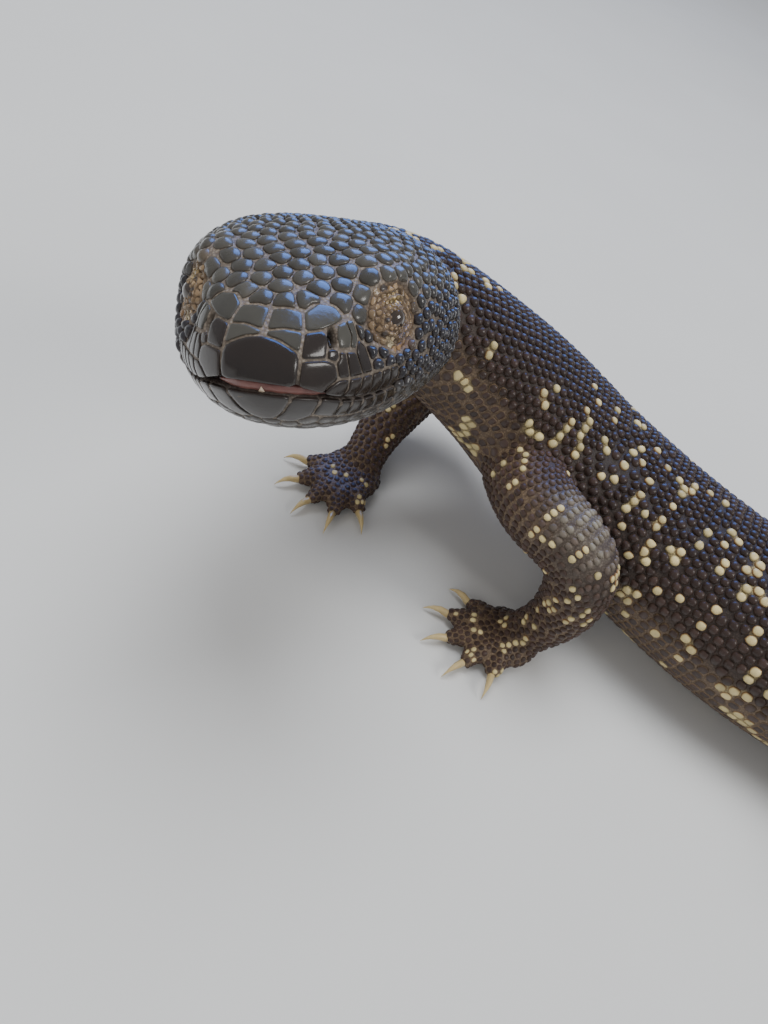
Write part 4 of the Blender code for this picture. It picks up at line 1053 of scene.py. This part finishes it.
def cell_rims(chosen, sides):
    """For each chosen seed, the directions of its rim's corners and their distances from its middle."""
    at, normal, size = seeds["at"][chosen], seeds["normal"][chosen], seeds["size"][chosen]
    offset = seeds["at"][near[chosen]] - at[:, None]
    away = np.maximum(np.linalg.norm(offset, axis=-1), 1e-6)
    other_size = seeds["size"][near[chosen]]
    middle = (away**2 + (size**2)[:, None] - other_size**2) / (2 * away)
    oblong = (seeds["corner"][chosen] > 9.5) & (seeds["region"][chosen] != HEAD)
    seam = SEAM * np.where(oblong, BELLY_SEAM, 1.0)
    middle = np.clip(middle, 0.2 * away, 0.8 * away) - seam[:, None] / 2
    level = unit(offset - normal[:, None] * np.sum(offset * normal[:, None], axis=-1, keepdims=True))
    same_side = np.sum(seeds["normal"][near[chosen]] * normal[:, None], axis=-1) > -0.1
    first = unit(np.cross(normal, (0.3, 0.2, 0.93)))
    second = np.cross(normal, first)
    turns = 2 * np.pi * np.arange(sides) / sides
    ways = first[:, None] * np.cos(turns)[None, :, None] + second[:, None] * np.sin(turns)[None, :, None]
    facing = np.maximum(np.einsum("nsk,njk->nsj", ways, level), 0) * same_side[:, None]
    power = seeds["corner"][chosen][:, None]
    pull = np.sum((facing / middle[:, None]) ** power[..., None], axis=-1)
    loose = np.where(seeds["region"][chosen] == HEAD, 1.30, 1.12)
    cap = (1 / (loose * size)[:, None]) ** power
    reach = (pull + cap) ** (-1 / power)
    starts, ends = plate_edges.reshape(-1, 3), np.roll(plate_edges, -1, axis=1).reshape(-1, 3)
    for k in np.flatnonzero(seeds["region"][chosen] == HEAD):
        close = np.linalg.norm(starts - at[k], axis=1) < 0.005
        if not close.any():
            continue
        a = np.stack([(starts[close] - at[k]) @ first[k], (starts[close] - at[k]) @ second[k]], axis=1)
        b = np.stack([(ends[close] - at[k]) @ first[k], (ends[close] - at[k]) @ second[k]], axis=1) - a
        for j, turn in enumerate(turns):
            c, d = math.cos(turn), math.sin(turn)
            slope = c * b[:, 1] - d * b[:, 0]
            slope = np.where(abs(slope) < 1e-9, 1e-9, slope)
            ahead = (a[:, 0] * b[:, 1] - a[:, 1] * b[:, 0]) / slope
            aside = (a[:, 0] * d - a[:, 1] * c) / slope
            met = ahead[(aside > -0.02) & (aside < 1.02) & (ahead > 0)]
            if len(met):
                reach[k, j] = min(reach[k, j], max(met.min() - PLATE_SEAM, 0.0003))
    return ways, reach


def coat_mesh(name, rings, tops, rims, tints, edges, places):
    """One object of many closed scales. Each has rings of points from its rim inwards, then its top."""
    count, deep, sides = rings.shape[:3]
    points = np.concatenate([rings.reshape(count, -1, 3), tops[:, None]], axis=1)
    points[..., 2] = np.maximum(points[..., 2], FLOOR_LEAST)
    per = deep * sides + 1
    quads = np.array([(k * sides + j, k * sides + (j + 1) % sides, (k + 1) * sides + (j + 1) % sides,
                       (k + 1) * sides + j) for k in range(deep - 1) for j in range(sides)])
    last = (deep - 1) * sides
    fans = np.array([(last + j, last + (j + 1) % sides, per - 1) for j in range(sides)])
    starts = np.arange(count) * per
    quads, fans = quads[None] + starts[:, None, None], fans[None] + starts[:, None, None]
    base = np.arange(sides)[::-1][None] + starts[:, None]
    middle = rings[:, 0].mean(axis=1, keepdims=True)
    spin = np.cross(rings[:, 0] - middle, np.roll(rings[:, 0], -1, axis=1) - middle).sum(axis=1)
    flip = np.sum(spin * (tops - middle[:, 0]), axis=1) < 0
    quads[flip], fans[flip] = quads[flip][:, :, ::-1], fans[flip][:, :, ::-1]
    base[flip] = base[flip][:, ::-1]
    loops = np.concatenate([quads.ravel(), fans.ravel(), base.ravel()])
    totals = np.repeat([4, 3, sides], [count * (deep - 1) * sides, count * sides, count])
    data = bpy.data.meshes.new(name)
    data.vertices.add(count * per)
    data.vertices.foreach_set("co", points.ravel())
    data.loops.add(len(loops))
    data.loops.foreach_set("vertex_index", loops.astype(np.int32))
    data.polygons.add(len(totals))
    data.polygons.foreach_set("loop_start", (np.cumsum(totals) - totals).astype(np.int32))
    data.polygons.foreach_set("loop_total", totals.astype(np.int32))
    data.polygons.foreach_set("use_smooth", np.ones(len(totals), bool))
    tint = np.ones((count, per, 4), np.float32)
    tint[..., :3] = tints[:, None]
    tint[:, :2 * sides, :3] = edges[:, None]
    data.attributes.new("tint", "FLOAT_COLOR", "POINT").data.foreach_set("color", tint.ravel())
    rim = np.tile(np.concatenate([np.repeat(rims, sides), [0.0]]), count).astype(np.float32)
    data.attributes.new("rim", "FLOAT", "POINT").data.foreach_set("value", rim)
    turns = 2 * np.pi * np.arange(sides) / sides
    layout = np.concatenate([np.stack([np.cos(turns), np.sin(turns)], axis=1) * (1 - k / deep)
                             for k in range(deep)] + [np.zeros((1, 2))])
    spots = places[:, None] + 0.0015 * layout[None]
    baked = data.uv_layers.new(name="OFBake")
    baked.data.foreach_set("uv", spots.reshape(-1, 2)[loops].astype(np.float32).ravel())
    data.update()
    made = bpy.data.objects.new(name, data)
    bpy.context.scene.collection.objects.link(made)
    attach(made, "root")
    return made


def scale_piece(name, chosen, sides):
    """One object with all the chosen scales."""
    ways, reach = cell_rims(chosen, sides)
    at, normal, height = seeds["at"][chosen], seeds["normal"][chosen], seeds["height"][chosen]
    rims = at[:, None] + ways * reach[..., None]
    foot, _, _ = on_skin(rims.reshape(-1, 3))
    foot = foot.reshape(rims.shape)
    rings = []
    for share, lift in DOME:
        spot = at[:, None] * (1 - share) + foot * share
        bow = np.sum((foot - at[:, None]) * normal[:, None], axis=-1, keepdims=True) * (share**2 - share)
        lift = lift * (height[:, None, None] if lift > 0 else RIM_LIFT)
        rings.append(spot + normal[:, None] * (bow + lift))
    return coat_mesh(name, np.stack(rings, axis=1), at + normal * height[:, None],
                     [share for share, _ in DOME], seeds["tint"][chosen], seeds["edge"][chosen],
                     seeds["uv"][chosen])


def above_plate(spots, middle, fitted, lift):
    """Points over a plate's smooth bed, in the head's frame."""
    return way_out(*spots.T) * (bend_terms(*(spots - middle).T) @ fitted + lift)[:, None] + HEAD_MIDDLE


def plate_piece(name):
    """One object with the snout's plates, each smooth over its whole width."""
    rings, tops, tints, places = [], [], [], []
    for number, (loop, middle, fitted) in enumerate(plates):
        width = np.radians(np.hypot(*(loop - middle).T)).mean() * fitted[0]
        high = PLATE_HEIGHT * min(1.0, 0.55 + 120 * width)
        inset = [PLATE_SEAM / 2, PLATE_SEAM / 2 + 0.00006, 0.00036, 0.00075, 0.0013]
        lifts = [-0.0004, 0.45 * high, 0.82 * high, 0.97 * high, 1.02 * high]
        shares = [1 - min(way / width, 0.85) for way in inset]
        rings.append([above_plate(middle + share * (loop - middle), middle, fitted, lift)
                      for share, lift in zip(shares, lifts)])
        tops.append(above_plate(middle[None], middle, fitted, 1.06 * high)[0])
        # Painted sheen: the plates high on the snout take the paler olive.
        top_sheen = middle[1] > 9 and number > 1
        tints.append(np.array(PLATE_OLIVE_SHEEN if top_sheen else PLATE_BROWN) * rng.uniform(0.85, 1.2))
        places.append((0.30 + 0.0014 * middle[0], 0.20 + 0.0014 * middle[1]))
    rings = np.array(rings) @ HEAD_AXES + head_at
    return coat_mesh(name, rings, np.array(tops) @ HEAD_AXES + head_at, [1.0, 0.97, 0.75, 0.45, 0.2],
                     np.array(tints), np.array(tints) * 1.6 + 0.01, np.array(places))


def in_region(region):
    return np.flatnonzero(seeds["region"] == region)


HORN_DUST, HORN_STAIN = (0.060, 0.045, 0.036, 1), (0.010, 0.008, 0.008, 1)


def horn(name, roughness, coat_weight):
    """Horn of a given roughness and gloss, tinted by each scale's own colour."""
    made, tree, inputs = new_material(name)
    tint = tree.node("ShaderNodeAttribute", {"attribute_name": "tint"})
    rim = tree.node("ShaderNodeAttribute", {"attribute_name": "rim"}, output=2)
    where = tree.node("ShaderNodeTexCoord", output=3)
    grain = tree.node("ShaderNodeTexNoise", inputs={"Vector": where, "Scale": 1400.0, "Detail": 3.0})
    stain = tree.node("ShaderNodeTexNoise", inputs={"Vector": where, "Scale": 260.0, "Detail": 2.0})
    dusty = (rim**6) * 0.25
    colour = dusty.mixed(tint, HORN_DUST)
    darker = (stain * 0.5).mixed(colour, HORN_STAIN)
    feed(inputs, "Base Color", darker)
    feed(inputs, "Roughness", grain * 0.16 + (rim**3) * 0.30 + (roughness - 0.08))
    inputs["Coat Weight"].default_value = coat_weight
    inputs["Coat Roughness"].default_value = 0.12
    inputs["Specular IOR Level"].default_value = 0.36
    relief = tree.node("ShaderNodeBump", {}, {"Height": grain, "Strength": 0.18, "Distance": 0.0002})
    feed(inputs, "Normal", relief)
    return made


head_horn, plate_horn = horn("head horn", 0.26, 0.45), horn("plate horn", 0.19, 0.35)
body_horn, limb_horn = horn("bead horn", 0.38, 0.15), horn("limb horn", 0.45, 0.05)
trunk = in_region(TRUNK)
to_front = seeds["place"][trunk, 0] < TRUNK_PARTED
coat = [
    (scale_piece("head_scales", in_region(HEAD), 14), head_horn, "head_hide"),
    (plate_piece("snout_plates"), plate_horn, "head_hide"),
    (scale_piece("neck_beads", in_region(NECK), 12), body_horn, "trunk_hide"),
    (scale_piece("trunk_beads_front", trunk[to_front], 12), body_horn, "trunk_hide"),
    (scale_piece("trunk_beads_back", trunk[~to_front], 12), body_horn, "trunk_hide"),
    (scale_piece("tail_beads", in_region(TAIL), 12), body_horn, "tail_hide"),
    (scale_piece("forelimb_beads", in_region(FORE), 10), limb_horn, "limb_hide"),
    (scale_piece("hind_limb_beads", in_region(HIND), 10), limb_horn, "limb_hide"),
    (scale_piece("hand_scales", in_region(HANDS), 8), limb_horn, "limb_hide"),
    (scale_piece("foot_scales", in_region(FEET), 8), limb_horn, "limb_hide"),
]
for piece, finish, word in coat:
    piece.data.materials.append(finish)


# Inside the lips: a strip of wet pink gum, as far as the mouth stands open, and the tip of one tooth. The
# gum is soft and sits behind the lips' edge; the tooth is bone with enamel, and grows out of it.
GUM_FROM, GUM_TO, GUM_TAPER, GUM_BEHIND, GUM_THICK = -21, 34, 12, 0.0015, 0.0007
gum_finish, tree, inputs = new_material("gum")
where = tree.node("ShaderNodeTexCoord", output=3)
blotch = tree.node("ShaderNodeTexNoise", inputs={"Vector": where, "Scale": 500.0, "Detail": 3.0})
feed(inputs, "Base Color", blotch.mixed((0.26, 0.110, 0.092, 1), (0.085, 0.036, 0.032, 1)))
inputs["Roughness"].default_value = 0.35
inputs["Coat Weight"].default_value = 0.3
gum_ways = np.linspace(GUM_FROM, GUM_TO, 61)
gum_middle = mouth_line(abs(gum_ways)) - 0.3
taper = np.clip(np.minimum(gum_ways - GUM_FROM, GUM_TO - gum_ways) / GUM_TAPER, 0, 1)
gum_half = gape_at(abs(gum_ways)) * (0.25 + 0.65 * taper * (1 + 0.12 * np.sin(gum_ways * 0.9)))
gum_reach = head_skin(gum_ways, gum_middle) - GUM_BEHIND - 0.0006 * (1 - taper)
turns = np.linspace(0, 2 * np.pi, 16, endpoint=False)
rings = []
for side_way, up_way, half, reach in zip(gum_ways, gum_middle, gum_half, gum_reach):
    tall = np.degrees(half / reach) * rounded(np.sin(turns), 3.0)
    depth = reach + GUM_THICK * rounded(np.cos(turns), 2.5)
    rings.append(way_out(np.full(len(turns), side_way), up_way + tall) * depth[:, None])
gum = mesh_object("gum", *shell((np.array(rings) + HEAD_MIDDLE) @ HEAD_AXES + head_at))
# The tooth's foot and tip, in degrees sideways and upwards
base = way_out(np.array([0.6, 1.9, 3.2, 1.9]), np.array([-12.2, -12.5, -12.2, -11.7]))
tip = way_out(np.array([1.7]), np.array([-10.1]))
tooth_reach = gum_reach[np.argmin(abs(gum_ways - 1))]
base_points = base * (tooth_reach + 0.00085) + HEAD_MIDDLE
base_points[3] -= base[3] * 0.0008
tip_point = tip[0] * (tooth_reach + 0.0008) + HEAD_MIDDLE
rings = np.array([base_points * (1 - t) + tip_point * t for t in (0.0, 0.35, 0.7, 0.92)])
tooth = mesh_object("tooth", *shell(rings @ HEAD_AXES + head_at))
tooth_finish, tree, inputs = new_material("tooth")
inputs["Base Color"].default_value = (0.62, 0.50, 0.38, 1)
inputs["Roughness"].default_value = 0.3


def finished(piece, finish):
    """Turns a piece's faces outwards, smooths them and gives them their finish."""
    bpy.ops.object.select_all(action="DESELECT")
    piece.select_set(True)
    bpy.context.view_layer.objects.active = piece
    bpy.ops.object.mode_set(mode="EDIT")
    bpy.ops.mesh.select_all(action="SELECT")
    bpy.ops.mesh.normals_make_consistent(inside=False)
    bpy.ops.object.mode_set(mode="OBJECT")
    piece.data.shade_smooth()
    piece.data.materials.append(finish)


for piece, finish in ((gum, gum_finish), (tooth, tooth_finish)):
    finished(piece, finish)
    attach(piece, "root")


# Eyes: small, round and nearly black, of clear wet cornea over a dark iris. Each ball sits in the hollow
# behind lids that are almost shut, and bulges a little where it looks out.
eye_finish, tree, inputs = new_material("eye")
where = tree.node("ShaderNodeTexCoord", output=3)
iris = tree.node("ShaderNodeTexNoise", inputs={"Vector": where, "Scale": 900.0, "Detail": 3.0})
feed(inputs, "Base Color", iris.mixed((0.008, 0.006, 0.005, 1), (0.045, 0.026, 0.014, 1)))
inputs["Roughness"].default_value = 0.06
inputs["Coat Weight"].default_value = 1.0
for word, place in zip(("left", "right"), eye_places):
    middle = head_at + (place[0] - place[3] * (EYE_RADIUS - EYE_STANDS_OUT - HIDE_DEPTH)) @ HEAD_AXES
    bpy.ops.object.select_all(action="DESELECT")
    bpy.ops.mesh.primitive_uv_sphere_add(segments=32, ring_count=20, radius=EYE_RADIUS - EYE_GAP,
                                         location=middle)
    eye = bpy.context.object
    bpy.ops.object.transform_apply(location=True, rotation=True, scale=True)
    eye.name = f"eyeball_{word}"
    outward = Vector(place[3] @ HEAD_AXES)
    for vertex in eye.data.vertices:
        facing = (vertex.co - Vector(middle)).normalized().dot(outward)
        vertex.co += outward * 0.0002 * max(0.0, facing) ** 8
    eye.data.shade_smooth()
    eye.data.materials.append(eye_finish)
    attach(eye, "root")
    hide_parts(f"eye_{word}")


# Claws: long curved cones of pale yellow horn, a little clear, deeper than wide. One grows out of the end
# of each toe. The curve is (share of the length, height, share of the root's thickness).
CLAW_LENGTH, CLAW_RADIUS, CLAW_NARROW = 0.0075, 0.0016, 0.82
CLAW_CURVE = [(-0.26, -0.0002, 0.98), (0.0, 0.0, 1.0), (0.3, 0.0006, 0.86), (0.62, 0.0001, 0.58),
              (0.86, -0.0011, 0.30), (1.0, -0.0022, 0.08)]
claw_finish, tree, inputs = new_material("claw horn")
where = tree.node("ShaderNodeTexCoord", output=3)
streaks = tree.node("ShaderNodeTexNoise", inputs={"Vector": where, "Scale": 420.0, "Detail": 2.0})
feed(inputs, "Base Color", streaks.mixed((0.62, 0.50, 0.26, 1), (0.40, 0.29, 0.13, 1)))
feed(inputs, "Roughness", streaks * 0.2 + 0.25)
inputs["Subsurface Weight"].default_value = 0.15
inputs["Subsurface Radius"].default_value = (0.002, 0.0012, 0.0006)
for (limb_name, number), (_, spots, way, _) in toe_surfaces.items():
    ahead = unit(spots[-1] - spots[-2])
    root = spots[-1] + ahead * 0.0003
    share, lift, size = (np.array(column) for column in zip(*CLAW_CURVE))
    fine = np.linspace(share[0], share[-1], 14)
    lift, size = np.interp(fine, share, lift), np.interp(fine, share, size)
    line = root + np.outer(fine * CLAW_LENGTH, way) + np.outer(lift, (0, 0, 1))
    steps = unit(np.gradient(line, axis=0))
    across = np.cross(steps, (0.0, 0.0, 1.0))
    over = np.cross(across, steps)
    turns = np.linspace(0, 2 * np.pi, 12, endpoint=False)
    radius = (CLAW_RADIUS * size)[:, None, None]
    rings = line[:, None] + (across[:, None] * np.cos(turns)[None, :, None] * CLAW_NARROW
                             + over[:, None] * np.sin(turns)[None, :, None]) * radius * 0.92
    claw = mesh_object(f"claw_{limb_name}_{number}", *shell(rings))
    finished(claw, claw_finish)
    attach(claw, "root")
    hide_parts(f"{limb_name}_foot_claw_{number}")


# The stand for the view: a plain pale floor of matt paint, soft light from above with blue sky in the
# gloss, and the camera at the place that the markings are seen from.
bpy.ops.object.select_all(action="DESELECT")
bpy.ops.mesh.primitive_plane_add(size=12, location=(0, 0, 0))
floor = bpy.context.object
floor.name = "floor"
floor_finish, tree, inputs = new_material("floor paint")
where = tree.node("ShaderNodeTexCoord", output=3)
mottle = tree.node("ShaderNodeTexNoise", inputs={"Vector": where, "Scale": 8.0, "Detail": 4.0})
feed(inputs, "Base Color", mottle.mixed((0.60, 0.60, 0.59, 1), (0.66, 0.66, 0.65, 1)))
inputs["Roughness"].default_value = 0.8
inputs["Specular IOR Level"].default_value = 0.1
floor.data.materials.append(floor_finish)

world = bpy.data.worlds.new("studio")
bpy.context.scene.world = world
world.use_nodes = True
world.node_tree.nodes["Background"].inputs["Color"].default_value = (0.93, 0.95, 1.0, 1)
world.node_tree.nodes["Background"].inputs["Strength"].default_value = 0.42


def soft_light(name, place, size, power, colour, shines="both"):
    """A square lamp turned to the head, which may light the surfaces or only show in their gloss."""
    data = bpy.data.lights.new(name, "AREA")
    data.size, data.energy, data.color = size, power, colour
    lamp = bpy.data.objects.new(name, data)
    bpy.context.scene.collection.objects.link(lamp)
    lamp.location = place
    lamp.rotation_mode = "QUATERNION"
    lamp.rotation_quaternion = (Vector((-0.12, 0, 0.06)) - Vector(place)).to_track_quat("-Z", "Y")
    lamp.visible_glossy, lamp.visible_diffuse = shines != "surface", shines != "gloss"


soft_light("overhead", (-0.30, 0.30, 1.5), 1.0, 24.0, (0.93, 0.96, 1.0), "surface")
soft_light("blue_sky", (-0.08, 1.28, 1.15), 1.35, 46.0, (0.12, 0.32, 1.0), "gloss")
soft_light("window", (1.02, -0.38, 1.05), 0.55, 9.0, (1.0, 0.98, 0.95))
soft_light("fill", (-0.9, -1.1, 0.8), 1.0, 6.0, (1.0, 0.95, 0.88), "surface")

data = bpy.data.cameras.new("camera")
camera = bpy.data.objects.new("camera", data)
bpy.context.scene.collection.objects.link(camera)
data.sensor_width, data.lens = 36.0, FOCAL_PIXELS * 36 / PHOTO_HEIGHT
data.clip_start, data.clip_end = 0.01, 50
camera.location = CAMERA_AT
camera.rotation_mode = "QUATERNION"
camera.rotation_quaternion = Matrix((view_right, view_up, -view_ahead)).transposed().to_quaternion()
bpy.context.scene.camera = camera
